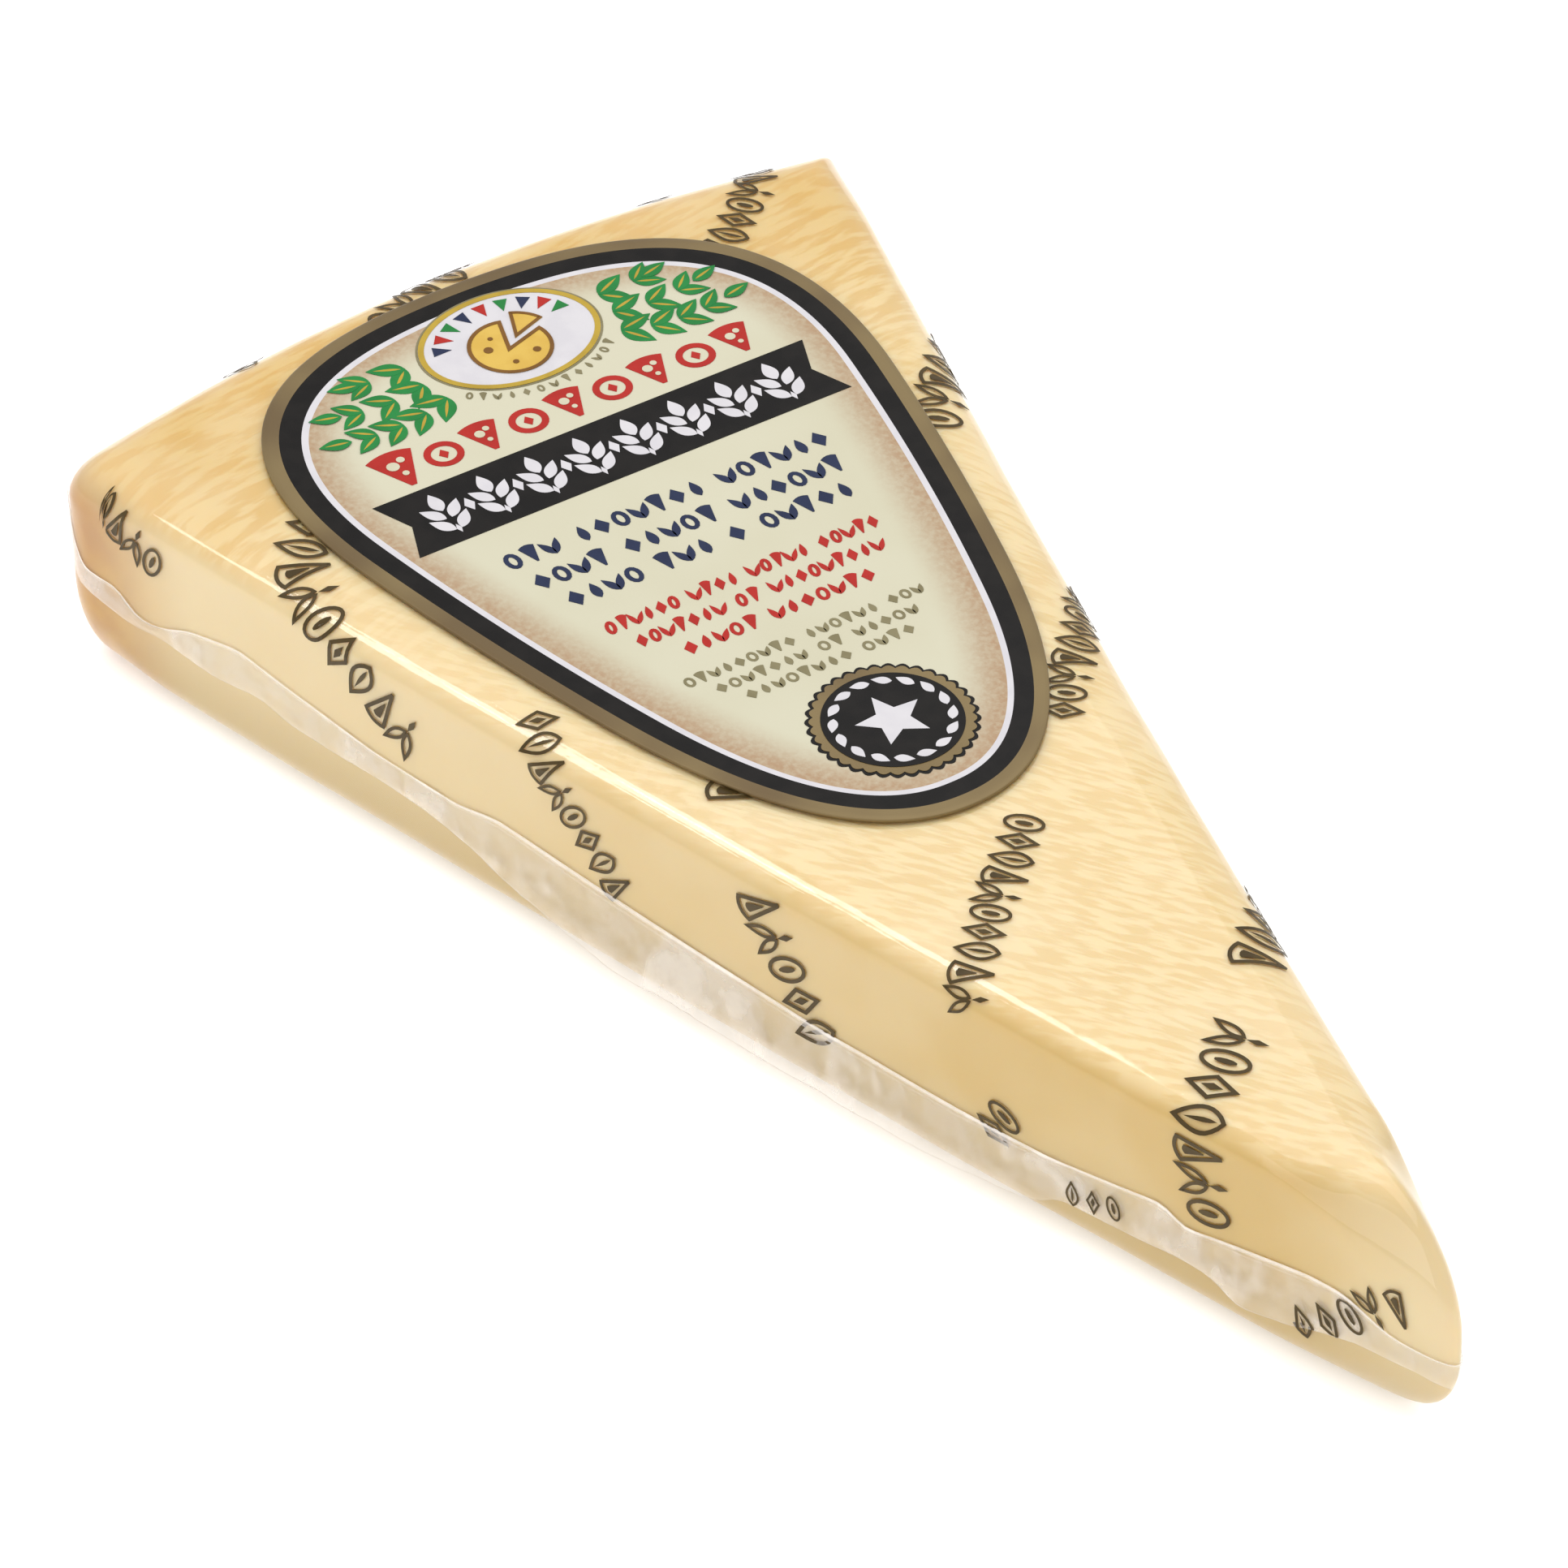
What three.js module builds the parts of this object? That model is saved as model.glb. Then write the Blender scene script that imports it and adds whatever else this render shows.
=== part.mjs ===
// A wedge of hard cheese, vacuum-packed in clear film, with a printed label on its top face.
//
// Millimetres, +Z up. +X points from the rind to the tip, +Y across the wedge, and the origin
// is under the middle of the pack's bounding box, on the surface that the pack lies on.
//
//   wrapped_wedge   the cheese with the film drawn tight round it. The film's seal flange lies
//                   folded down against the walls, and is a wavy lip all round them.
//   label           the printed label, a thin rounded plate just above the top face.

import * as THREE from 'three';
import { mergeVertices } from 'three/addons/utils/BufferGeometryUtils.js';

// ---- The slice ----
// It is cut from a wheel of about 178 mm radius, which is its length from rind to tip.
const RIND_CHORD = 0.3; // the drawing's X where the cut faces meet the rind
const FRONT_HALF = 46.9; // from the drawing's X axis to the front end of that chord
const BACK_HALF = 47.4; // and to its back end
const RIND_BOW = 5.4; // how far the rind swells out past the chord
const POINT = 171.9; // the X where the cut faces would meet
const POINT_OFFSET = -2.4; // the point leans this far towards the front cut face
const HEIGHT = 23.7;
const FRONT_BULGE = 1.5; // the front cut face swells outwards by this much
const BACK_HOLLOW = 1.6; // the back cut face dips inwards by this much
const FRONT_CORNER = 5.2; // lengths over which the corners of the plan are rounded off
const BACK_CORNER = 1;
const TIP_FRONT = 12.4;
const TIP_BACK = 8.4;
const FRONT_RADIUS = 5.2; // insets this deep use up most of a corner's rounding
const BACK_RADIUS = 3.2;
const TIP_RADIUS = 4;

// ---- The film's rounding of the cheese's edges ----
const TOP_INSET = 5.4; // how far in from the wall the flat top begins
const TOP_DROP = 3; // how far below the top the wall begins, along the long walls
const TOP_DROP_RIND = 5;
const TOP_DROP_TIP = 14; // the tip is a blunt nose
const BOTTOM_INSET = 3;
const BOTTOM_RISE = 3.6;
const BOTTOM_RISE_RIND = 9;
const BOTTOM_RISE_TIP = 9.4;
const RIND_ZONE = 14; // the lengths over which the long walls' rounding becomes the ends'
const TIP_ZONE = 24;

// ---- The seal flange ----
const SEAL_HEIGHT = 10.6; // where the flange leaves the wall
const SEAL_WAVE = 0.9;
const FLANGE_WIDTH = 3.4;
const FLANGE_SAG = 4.6; // it hangs this much lower half way along the cut faces
const SAG_CENTRE = 97;
const SAG_HALF_LENGTH = 30;
const FLANGE_WAVE = 0.7;
const FLANGE_STAND = 0.5; // how far its free edge stands off the wall
const FLANGE_STAND_SAG = 0.8; // and how much further where it hangs lower
const FLANGE_STAND_WAVE = 0.2;
const FLANGE_LOWEST = 1.4; // the free edge stays this far above the floor

// ---- The label ----
const LABEL_BORDER = 1.4; // the bronze outermost band, outside the sizes below
const LABEL_START = 9; // the X where the label's rind side meets its long sides
const LABEL_END = 93.6; // and the X of its tip side
const LABEL_OFFSET = -1.6; // towards the front cut face
const LABEL_TURN = -2.1; // degrees about its middle, seen from above
const LABEL_RIND_HALF = 32.9;
const LABEL_TIP_HALF = 12.6;
const LABEL_RIND_BOW = 7.1;
const LABEL_SIDE_BOW = 2.7;
const LABEL_RIND_BEND = 25.7; // lengths over which its corners are rounded off
const LABEL_SIDE_BEND = 27.7;
const LABEL_TIP_BEND = 12.4;
const LABEL_CORNER_RADIUS = 14.5;
const LABEL_THICKNESS = 0.4;
const LABEL_GAP = 0.3; // between the top face and the label

// A corner of a loop: the two sides that meet at (x, y) are rounded off over the lengths
// before and after it. Its radius says how fast an inset uses up that rounding, and bow is
// how far the side that follows swells outwards.
function corner(x, y, before, after, radius, bow) {
  return { at: new THREE.Vector2(x, y), before, after, radius, bow };
}

// The outward normal of the side that runs from a to b, counter-clockwise seen from above.
function sideNormal(a, b) {
  const along = b.clone().sub(a).normalize();
  return new THREE.Vector2(along.y, -along.x);
}

// The point that lies at distance first along normal n, and at distance second along normal m.
function crossing(n, first, m, second) {
  const turn = n.x * m.y - n.y * m.x;
  return new THREE.Vector2(
    (first * m.y - second * n.y) / turn,
    (second * n.x - first * m.x) / turn,
  );
}

// A curve that leaves one side in its own direction and arrives at the next side in its own.
function roundingBetween(side, next) {
  const leaving = sideNormal(side.v1, side.v2);
  const arriving = sideNormal(next.v0, next.v1);
  const control = crossing(leaving, leaving.dot(side.v2), arriving, arriving.dot(next.v0));
  return new THREE.QuadraticBezierCurve(side.v2, control, next.v0);
}

// The stretch of a quadratic curve between two shares of its length.
function stretch(curve, from, to) {
  const start = curve.getPoint(from);
  const slope = curve.v1.clone().sub(curve.v0).multiplyScalar(1 - from)
    .addScaledVector(curve.v2.clone().sub(curve.v1), from);
  const control = start.clone().addScaledVector(slope, to - from);
  return new THREE.QuadraticBezierCurve(start, control, curve.getPoint(to));
}

// The points of a closed loop through rounded corners, all of it moved inwards by inset, or
// outwards where inset is negative. Every inset of one loop has the same number of points,
// in the same order.
function roundedLoop(corners, inset, sideSteps, cornerSteps) {
  const count = corners.length;
  const next = (i) => (i + 1) % count;
  const normals = corners.map((c, i) => sideNormal(c.at, corners[next(i)].at));
  const points = corners.map((c, i) => {
    const before = normals.at(i - 1);
    const after = normals[i];
    return crossing(before, before.dot(c.at) - inset, after, after.dot(c.at) - inset);
  });
  const leftOver = corners.map((c) => Math.max(1 - inset / c.radius, 0.25));

  const sides = points.map((start, i) => {
    const end = points[next(i)];
    const length = start.distanceTo(end);
    const middle = start.clone().lerp(end, 0.5).addScaledVector(normals[i], 2 * corners[i].bow);
    const whole = new THREE.QuadraticBezierCurve(start, middle, end);
    const from = (corners[i].after * leftOver[i]) / length;
    const to = 1 - (corners[next(i)].before * leftOver[next(i)]) / length;
    return stretch(whole, from, to);
  });

  return sides.flatMap((side, i) => [
    ...side.getPoints(sideSteps[i]).slice(0, -1),
    ...roundingBetween(side, sides[next(i)]).getPoints(cornerSteps).slice(0, -1),
  ]);
}

// A closed body from rings of equal length, listed from the lowest to the highest, each
// counter-clockwise seen from above. A fan from its own middle closes each end.
function loftedBody(rings) {
  const count = rings[0].length;
  const middle = (ring) => {
    const sum = ring.reduce((total, p) => total.add(p), new THREE.Vector3());
    return sum.divideScalar(count);
  };
  const vertices = [...rings.flat(), middle(rings[0]), middle(rings.at(-1))];
  const bottomMiddle = vertices.length - 2;
  const topMiddle = vertices.length - 1;
  const lastRing = (rings.length - 1) * count;

  const triangles = [];
  for (let i = 0; i < count; i++) {
    const j = (i + 1) % count;
    triangles.push(bottomMiddle, j, i);
    triangles.push(topMiddle, lastRing + i, lastRing + j);
    for (let low = 0; low < lastRing; low += count) {
      const high = low + count;
      triangles.push(low + i, low + j, high + j);
      triangles.push(low + i, high + j, high + i);
    }
  }

  const body = new THREE.BufferGeometry().setFromPoints(vertices);
  body.setIndex(triangles);
  const merged = mergeVertices(body);
  merged.computeVertexNormals();
  return merged;
}

// ---- The wrapped wedge ----
const wedgeCorners = [
  corner(RIND_CHORD, -FRONT_HALF, FRONT_CORNER, FRONT_CORNER, FRONT_RADIUS, FRONT_BULGE),
  corner(POINT, POINT_OFFSET, TIP_FRONT, TIP_BACK, TIP_RADIUS, -BACK_HOLLOW),
  corner(RIND_CHORD, BACK_HALF, BACK_CORNER, BACK_CORNER, BACK_RADIUS, RIND_BOW),
];
const wedgeLoop = (inset) => roundedLoop(wedgeCorners, inset, [36, 34, 16], 9);

const wall = wedgeLoop(0);
const topFlat = wedgeLoop(TOP_INSET);
const bottomFlat = wedgeLoop(BOTTOM_INSET);

// The share of a rounding's inset that is left at a height above its flat end: 1 at the flat
// end, and 0 where the rounding has turned into the upright wall.
function roundingShare(height, rise) {
  const rest = Math.max(1 - height / rise, 0);
  return 1 - Math.sqrt(1 - rest * rest);
}

// A size that has one value along the long walls and others at the rind and at the tip.
function byPlace(point, along, atRind, atTip) {
  const rind = 1 - THREE.MathUtils.smoothstep(point.x, 0, RIND_ZONE);
  const tip = THREE.MathUtils.smoothstep(point.x, POINT - TIP_ZONE, POINT);
  return along + (atRind - along) * rind + (atTip - along) * tip;
}

// The flange at a share of the way round the wall: the heights of its fold and of its free
// edge, and how far that edge stands off.
function flangeAt(point, share) {
  const turn = 2 * Math.PI * share;
  const fold = SEAL_HEIGHT + SEAL_WAVE * Math.sin(7 * turn) * Math.cos(3 * turn);
  const sag = Math.exp(-(((point.x - SAG_CENTRE) / SAG_HALF_LENGTH) ** 4));
  const width = FLANGE_WIDTH + FLANGE_SAG * sag + FLANGE_WAVE * Math.sin(11 * turn);
  const stand = FLANGE_STAND + FLANGE_STAND_SAG * sag + FLANGE_STAND_WAVE * Math.sin(17 * turn);
  return { fold, free: Math.max(fold - width, FLANGE_LOWEST), stand };
}

// The points of the pack's section at one place on the wall, from the flat bottom up to the
// flat top.
function wedgeSection(point, i) {
  const { lerp } = THREE.MathUtils;
  const { fold, free, stand } = flangeAt(point, i / wall.length);
  const outward = sideNormal(wall.at(i - 1), wall[(i + 1) % wall.length]);
  const bottomRise = byPlace(point, BOTTOM_RISE, BOTTOM_RISE_RIND, BOTTOM_RISE_TIP);
  const topDrop = byPlace(point, TOP_DROP, TOP_DROP_RIND, TOP_DROP_TIP);

  const at = (plan, z) => new THREE.Vector3(plan.x, plan.y, z);
  const below = (z) => at(point.clone().lerp(bottomFlat[i], roundingShare(z, bottomRise)), z);
  const above = (z) => at(point.clone().lerp(topFlat[i], roundingShare(HEIGHT - z, topDrop)), z);
  const off = (distance, z) => at(point.clone().addScaledVector(outward, distance), z);

  return [
    ...[0, 0.08, 0.3, 0.62, 1].map((step) => below(free * step)),
    off(stand, free),
    off(0.7 * stand, lerp(free, fold, 0.75)),
    ...[1, 0.7, 0.45, 0.25, 0.12, 0.04, 0].map((step) => above(lerp(HEIGHT, fold, step))),
  ];
}

const sections = wall.map(wedgeSection);
const wedgeRings = sections[0].map((_, level) => sections.map((section) => section[level]));
const wrappedWedge = new THREE.Mesh(
  loftedBody(wedgeRings),
  new THREE.MeshStandardMaterial({ color: 0xf0d9a0, roughness: 0.3, metalness: 0 }),
);
wrappedWedge.name = 'wrapped_wedge';

// ---- The label ----
const labelRind = LABEL_RIND_HALF;
const labelTip = LABEL_TIP_HALF;
const labelCorners = [
  corner(LABEL_START, -labelRind, LABEL_RIND_BEND, LABEL_RIND_BEND, LABEL_CORNER_RADIUS, LABEL_SIDE_BOW),
  corner(LABEL_END, -labelTip, LABEL_SIDE_BEND, LABEL_TIP_BEND, LABEL_CORNER_RADIUS, 0),
  corner(LABEL_END, labelTip, LABEL_TIP_BEND, LABEL_SIDE_BEND, LABEL_CORNER_RADIUS, LABEL_SIDE_BOW),
  corner(LABEL_START, labelRind, LABEL_RIND_BEND, LABEL_RIND_BEND, LABEL_CORNER_RADIUS, LABEL_RIND_BOW),
];
const labelUnder = HEIGHT + LABEL_GAP;
const labelMiddle = new THREE.Vector2((LABEL_START + LABEL_END) / 2 - LABEL_RIND_BOW / 2, 0);
const labelOutline = roundedLoop(labelCorners, -LABEL_BORDER, [8, 1, 8, 4], 14).map((p) =>
  p.rotateAround(labelMiddle, THREE.MathUtils.degToRad(LABEL_TURN)),
);
const labelRings = [labelUnder, labelUnder + LABEL_THICKNESS].map((z) =>
  labelOutline.map((p) => new THREE.Vector3(p.x, p.y + LABEL_OFFSET, z)),
);
const label = new THREE.Mesh(
  loftedBody(labelRings),
  new THREE.MeshStandardMaterial({ color: 0xe9e2c8, roughness: 0.45, metalness: 0 }),
);
label.name = 'label';

// ---- The pack, with its bounding box centred over the origin ----
const pack = new THREE.Group();
pack.add(wrappedWedge, label);
const box = new THREE.Box3().setFromObject(pack, true);
const centre = box.getCenter(new THREE.Vector3());
pack.position.set(-centre.x, -centre.y, -box.min.z);

const part = new THREE.Group();
part.add(pack);
export default part;
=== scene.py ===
# %% [markdown]
# # A vacuum-packed wedge of hard cheese
#
# The object is a slice of a big wheel of cheese, shrink-wrapped in clear printed film. A paper
# label with rounded ends lies on its top face, and the film's sealed edge is folded down along
# the walls. This lesson builds it as it is made: first the cheese, then the film round it, the
# folded seal, the print on the film, and the label with its print on top.
#
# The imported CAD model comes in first, as a fixed frame. It says where everything goes, so
# nothing is fitted by eye afterwards.

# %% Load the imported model
import math
from collections import namedtuple

import bpy
import numpy as np
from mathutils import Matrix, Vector, noise
from mathutils.bvhtree import BVHTree


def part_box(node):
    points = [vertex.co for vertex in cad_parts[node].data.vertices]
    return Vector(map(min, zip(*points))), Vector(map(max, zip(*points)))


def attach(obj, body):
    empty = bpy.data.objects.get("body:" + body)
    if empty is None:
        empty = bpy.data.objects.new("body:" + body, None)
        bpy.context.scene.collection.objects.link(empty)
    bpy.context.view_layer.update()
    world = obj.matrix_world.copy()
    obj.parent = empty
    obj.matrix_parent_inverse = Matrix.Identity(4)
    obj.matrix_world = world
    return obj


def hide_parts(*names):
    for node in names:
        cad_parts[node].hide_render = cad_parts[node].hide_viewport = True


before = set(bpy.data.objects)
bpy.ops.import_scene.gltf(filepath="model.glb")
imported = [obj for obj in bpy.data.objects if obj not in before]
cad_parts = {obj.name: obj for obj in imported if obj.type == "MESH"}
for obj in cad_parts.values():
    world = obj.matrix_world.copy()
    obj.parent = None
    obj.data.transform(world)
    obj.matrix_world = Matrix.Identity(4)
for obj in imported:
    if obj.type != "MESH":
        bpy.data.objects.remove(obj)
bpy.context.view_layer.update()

MM = 0.001

# %% [markdown]
# ## Rounded outlines
#
# The wedge and its label are both made of gently bowed sides that run into each other round
# soft corners. A quadratic curve is enough for a side and another for a corner, where it leaves
# one side in that side's own direction and arrives in the next one's. Moving the sides inwards
# before they are rounded gives insets with the same number of points, which can be joined up
# into a skin.

# %% Outlines with bowed sides and soft corners
Corner = namedtuple("Corner", "x y before after radius bow")


def side_normal(a, b):
    along = (b - a) / np.linalg.norm(b - a)
    return np.array([along[1], -along[0]])


def crossing(n, first, m, second):
    turn = n[0] * m[1] - n[1] * m[0]
    return np.array([first * m[1] - second * n[1], second * n[0] - first * m[0]]) / turn


def quadratic(start, control, end, shares):
    t = np.asarray(shares)[:, None]
    return (1 - t) ** 2 * start + 2 * t * (1 - t) * control + t ** 2 * end


def rounded_loop(corners, inset, side_steps, corner_steps):
    """The points round the outline, counter-clockwise, as an array of x and y."""
    count = len(corners)
    at = [np.array([c.x, c.y]) for c in corners]
    normals = [side_normal(at[i], at[(i + 1) % count]) for i in range(count)]
    moved = [
        crossing(normals[i - 1], normals[i - 1] @ at[i] - inset,
                 normals[i], normals[i] @ at[i] - inset)
        for i in range(count)
    ]
    left_over = [max(1 - inset / c.radius, 0.25) for c in corners]

    sides = []
    for i, corner in enumerate(corners):
        j = (i + 1) % count
        length = np.linalg.norm(moved[j] - moved[i])
        middle = (moved[i] + moved[j]) / 2 + normals[i] * 2 * corner.bow
        first = corner.after * left_over[i] / length
        last = 1 - corners[j].before * left_over[j] / length
        shares = np.linspace(first, last, side_steps[i] + 1)
        sides.append(quadratic(moved[i], middle, moved[j], shares))

    loop = []
    for i, side in enumerate(sides):
        following = sides[(i + 1) % count]
        leaving = side_normal(side[-2], side[-1])
        arriving = side_normal(following[0], following[1])
        control = crossing(leaving, leaving @ side[-1], arriving, arriving @ following[0])
        shares = np.linspace(0, 1, corner_steps + 1)
        loop += [side[:-1], quadratic(side[-1], control, following[0], shares)[:-1]]
    return np.vstack(loop)


# %% [markdown]
# ## The label's outline and the drawing's origin
#
# A cheesemonger would measure a slice from its rind, so every size below is in millimetres: x
# from the rind towards the tip, y across and z up. The label has two long sides, a bowed rind
# side and a short tip side, and it was stuck on a little askew. Its outline in these
# measures, laid against its box in the frame, gives the place of the origin.

# %% Draw the label's outline and find the origin
LABEL_BORDER = 1.4
LABEL_AXIS = -1.6
LABEL_TURN = math.radians(-2.1)
LABEL_START, LABEL_END = 9.0, 93.6
LABEL_RIND_HALF, LABEL_TIP_HALF = 32.9, 12.6
LABEL_RIND_BOW, LABEL_SIDE_BOW = 7.1, 2.7
LABEL_MIDDLE = (LABEL_START + LABEL_END) / 2 - LABEL_RIND_BOW / 2
LABEL_CORNERS = [
    Corner(LABEL_START, -LABEL_RIND_HALF, 25.7, 25.7, 14.5, LABEL_SIDE_BOW),
    Corner(LABEL_END, -LABEL_TIP_HALF, 27.7, 12.4, 14.5, 0),
    Corner(LABEL_END, LABEL_TIP_HALF, 12.4, 27.7, 14.5, LABEL_SIDE_BOW),
    Corner(LABEL_START, LABEL_RIND_HALF, 25.7, 25.7, 14.5, LABEL_RIND_BOW),
]


def turned_on_label(x, y):
    """A place on the label, y from its own long axis, in the wedge's measures."""
    c, s = math.cos(LABEL_TURN), math.sin(LABEL_TURN)
    from_middle = x - LABEL_MIDDLE
    return np.column_stack([
        LABEL_MIDDLE + from_middle * c - y * s,
        LABEL_AXIS + from_middle * s + y * c,
    ])


def label_loop(inset):
    loop = rounded_loop(LABEL_CORNERS, inset, [60, 16, 60, 24], 40)
    return turned_on_label(loop[:, 0], loop[:, 1])


label_low, label_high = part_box("label")
wedge_low, wedge_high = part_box("wrapped_wedge")
HEIGHT = wedge_high.z / MM
LABEL_TOP = label_high.z / MM
label_edge = label_loop(-LABEL_BORDER)
lowest, highest = label_edge.min(axis=0), label_edge.max(axis=0)
box_middle = (np.array(label_low) + np.array(label_high)) / 2 / MM
ORIGIN = np.array([*(box_middle[:2] - (lowest + highest) / 2), 0.0])
print("origin in the frame, mm:", ORIGIN.round(2), "height, mm:", round(HEIGHT, 2))

# %% [markdown]
# ## Helpers for modelling
#
# Operators act on whatever is selected, and the frame's nodes come in selected, so each step
# starts by selecting one piece alone. Points are read and laid in millimetres from the
# drawing's origin, and kept in the mesh in metres.

# %% Select one piece, read its points and lay them
def select_only(piece=None):
    if bpy.context.mode != "OBJECT":
        bpy.ops.object.mode_set(mode="OBJECT")
    bpy.ops.object.select_all(action="DESELECT")
    if piece:
        piece.select_set(True)
        bpy.context.view_layer.objects.active = piece


def points_of(piece):
    flat = np.zeros(len(piece.data.vertices) * 3)
    piece.data.vertices.foreach_get("co", flat)
    return flat.reshape(-1, 3) / MM - ORIGIN


def normals_of(piece):
    flat = np.zeros(len(piece.data.vertices) * 3)
    piece.data.vertices.foreach_get("normal", flat)
    return flat.reshape(-1, 3)


def lay(piece, points):
    piece.data.vertices.foreach_set("co", ((points + ORIGIN) * MM).ravel())
    piece.data.update()


def new_piece(name):
    piece = bpy.context.object
    piece.name = piece.data.name = name
    return piece


def distance_to_loop(points, loop):
    """How far each flat point lies from the nearest place on a loop."""
    along = np.roll(loop, -1, axis=0) - loop
    share = ((points[:, None, :] - loop) * along).sum(2) / (along * along).sum(1)
    nearest = loop + along * np.clip(share, 0, 1)[..., None]
    return np.linalg.norm(points[:, None, :] - nearest, axis=2).min(axis=1)


# %% [markdown]
# ## The wedge's outline
#
# The slice is 172 mm from rind to tip and 94 mm across its rind, cut from a wheel about 356 mm
# across. The knife left one cut face slightly full and the other slightly hollow, and the film
# has drawn the corners round, most of all on the front of the tip.

# %% The wall's outline and its insets
POINT = 171.9
WEDGE_CORNERS = [
    Corner(0.3, -46.9, 5.2, 5.2, 5.2, 1.5),
    Corner(POINT, -2.4, 12.4, 8.4, 4, -1.6),
    Corner(0.3, 47.4, 1, 1, 3.2, 5.4),
]
SIDE_STEPS = [150, 150, 88]
CORNER_STEPS = 20
TOP_INSET = 5.4
BOTTOM_INSET = 3.0


def wedge_loop(inset):
    return rounded_loop(WEDGE_CORNERS, inset, SIDE_STEPS, CORNER_STEPS)


wall = wedge_loop(0)
top_flat = wedge_loop(TOP_INSET)
bottom_flat = wedge_loop(BOTTOM_INSET)
print(len(wall), "points round the wall,",
      "from x", wall[:, 0].min().round(1), "to", wall[:, 0].max().round(1))

# %% [markdown]
# ## The wedge's section
#
# Shrink film presses on the edges of the cheese, so the top edge is a flattened quarter round
# that drops 3 mm along the cut faces and more at the rind. The tip is pressed into a blunt
# nose, where the roundings of the top and the underside almost meet.

# %% How the edges are rounded at each place on the wall
def smoothstep(value, low, high):
    t = np.clip((value - low) / (high - low), 0, 1)
    return t * t * (3 - 2 * t)


RIND_ZONE = 14.0
TIP_ZONE = 24.0


def by_place(along, at_rind, at_tip):
    """A size with one value along the cut faces and others at the rind and at the tip."""
    rind = 1 - smoothstep(wall[:, 0], 0, RIND_ZONE)
    tip = smoothstep(wall[:, 0], POINT - TIP_ZONE, POINT)
    return along + (at_rind - along) * rind + (at_tip - along) * tip


top_drop = by_place(3.0, 5.0, 14.0)
bottom_rise = by_place(3.6, 9.0, 9.4)


def ring(plan, z):
    heights = np.broadcast_to(z, len(plan))
    return np.column_stack([plan, heights])


EDGE_STEPS, WALL_STEPS, TOP_STEPS = 10, 25, 40


def wedge_rings():
    """Rings of points from the middle of the underside up to the middle of the top."""
    quarter = np.radians(np.linspace(0, 90, EDGE_STEPS + 1))[:, None]
    inset_left = 1 - np.sin(quarter)
    rise_made = 1 - np.cos(quarter)
    underside = bottom_flat.mean(axis=0)
    topside = top_flat.mean(axis=0)

    rings = [ring(underside + (bottom_flat - underside) * s, 0) for s in (0, 0.3, 0.6, 0.85)]
    rings += [ring(wall + (bottom_flat - wall) * left, bottom_rise * made)
              for left, made in zip(inset_left, rise_made)]
    rings += [ring(wall, bottom_rise + (HEIGHT - top_drop - bottom_rise) * share)
              for share in np.linspace(0, 1, WALL_STEPS + 1)[1:-1]]
    rings += [ring(wall + (top_flat - wall) * left, HEIGHT - top_drop * made)
              for left, made in zip(inset_left[::-1], rise_made[::-1])]
    rings += [ring(topside + (top_flat - topside) * s, HEIGHT)
              for s in np.linspace(1, 0, TOP_STEPS + 1)[1:]]
    return np.array(rings)


# %% [markdown]
# ## A skin over rings
#
# One closed skin serves for the cheese and for its film. It could be extruded ring by ring, but
# a grid that is rolled up is quicker and comes with a UV map that follows the surface: its
# columns go round the wall, its rows lie on the rings, and merging by distance closes both its
# side seam and its two poles.

# %% Roll a grid over the rings
def roll_grid(name, rings):
    rings = np.concatenate([rings, rings[:, :1]], axis=1)
    rows, columns = rings.shape[:2]
    select_only()
    bpy.ops.mesh.primitive_grid_add(x_subdivisions=columns - 1, y_subdivisions=rows - 1)
    piece = new_piece(name)
    lay(piece, rings.reshape(-1, 3))
    bpy.ops.object.mode_set(mode="EDIT")
    bpy.ops.mesh.select_all(action="SELECT")
    bpy.ops.mesh.remove_doubles(threshold=0.002 * MM)
    bpy.ops.mesh.normals_make_consistent(inside=False)
    bpy.ops.object.mode_set(mode="OBJECT")
    bpy.ops.object.shade_smooth()
    print(name, "has", len(piece.data.vertices), "vertices")
    return piece


# %% [markdown]
# ## The cheese
#
# A knife leaves hard cheese almost flat, with slow waves a tenth of a millimetre deep and a
# finer grain. The waves are pushed into the mesh along its normals with smooth noise, so they
# also show in the outline and in how light slides over the face. Shrink/fatten then draws the
# cheese in by the thickness of the film.

# %% Model the cheese
FILM_GAP = 0.12


def noise_at(points, size):
    return np.array([noise.noise(Vector(p / size)) for p in points])


def waviness(points):
    return 0.10 * noise_at(points, 22.0) + 0.05 * noise_at(points + 40.0, 7.0)


def make_wavy(piece):
    points = points_of(piece)
    raised = points + normals_of(piece) * waviness(points)[:, None]
    raised[:, 2] = np.maximum(raised[:, 2], 0.0)
    lay(piece, raised)


cheese = roll_grid("cheese", wedge_rings())
make_wavy(cheese)
bpy.ops.object.mode_set(mode="EDIT")
bpy.ops.mesh.select_all(action="SELECT")
bpy.ops.transform.shrink_fatten(value=-FILM_GAP * MM)
bpy.ops.object.mode_set(mode="OBJECT")
cheese_heights = points_of(cheese)[:, 2]
print("cheese from z", cheese_heights.min().round(3), "to", cheese_heights.max().round(3))

# %% [markdown]
# ## The film
#
# The film is one skin, as thin as a sheet can be, so it is a single wall just outside the
# cheese. Where it was sealed it is pinched into short pleats that run up from the seal and die
# out within a few millimetres.

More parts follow.
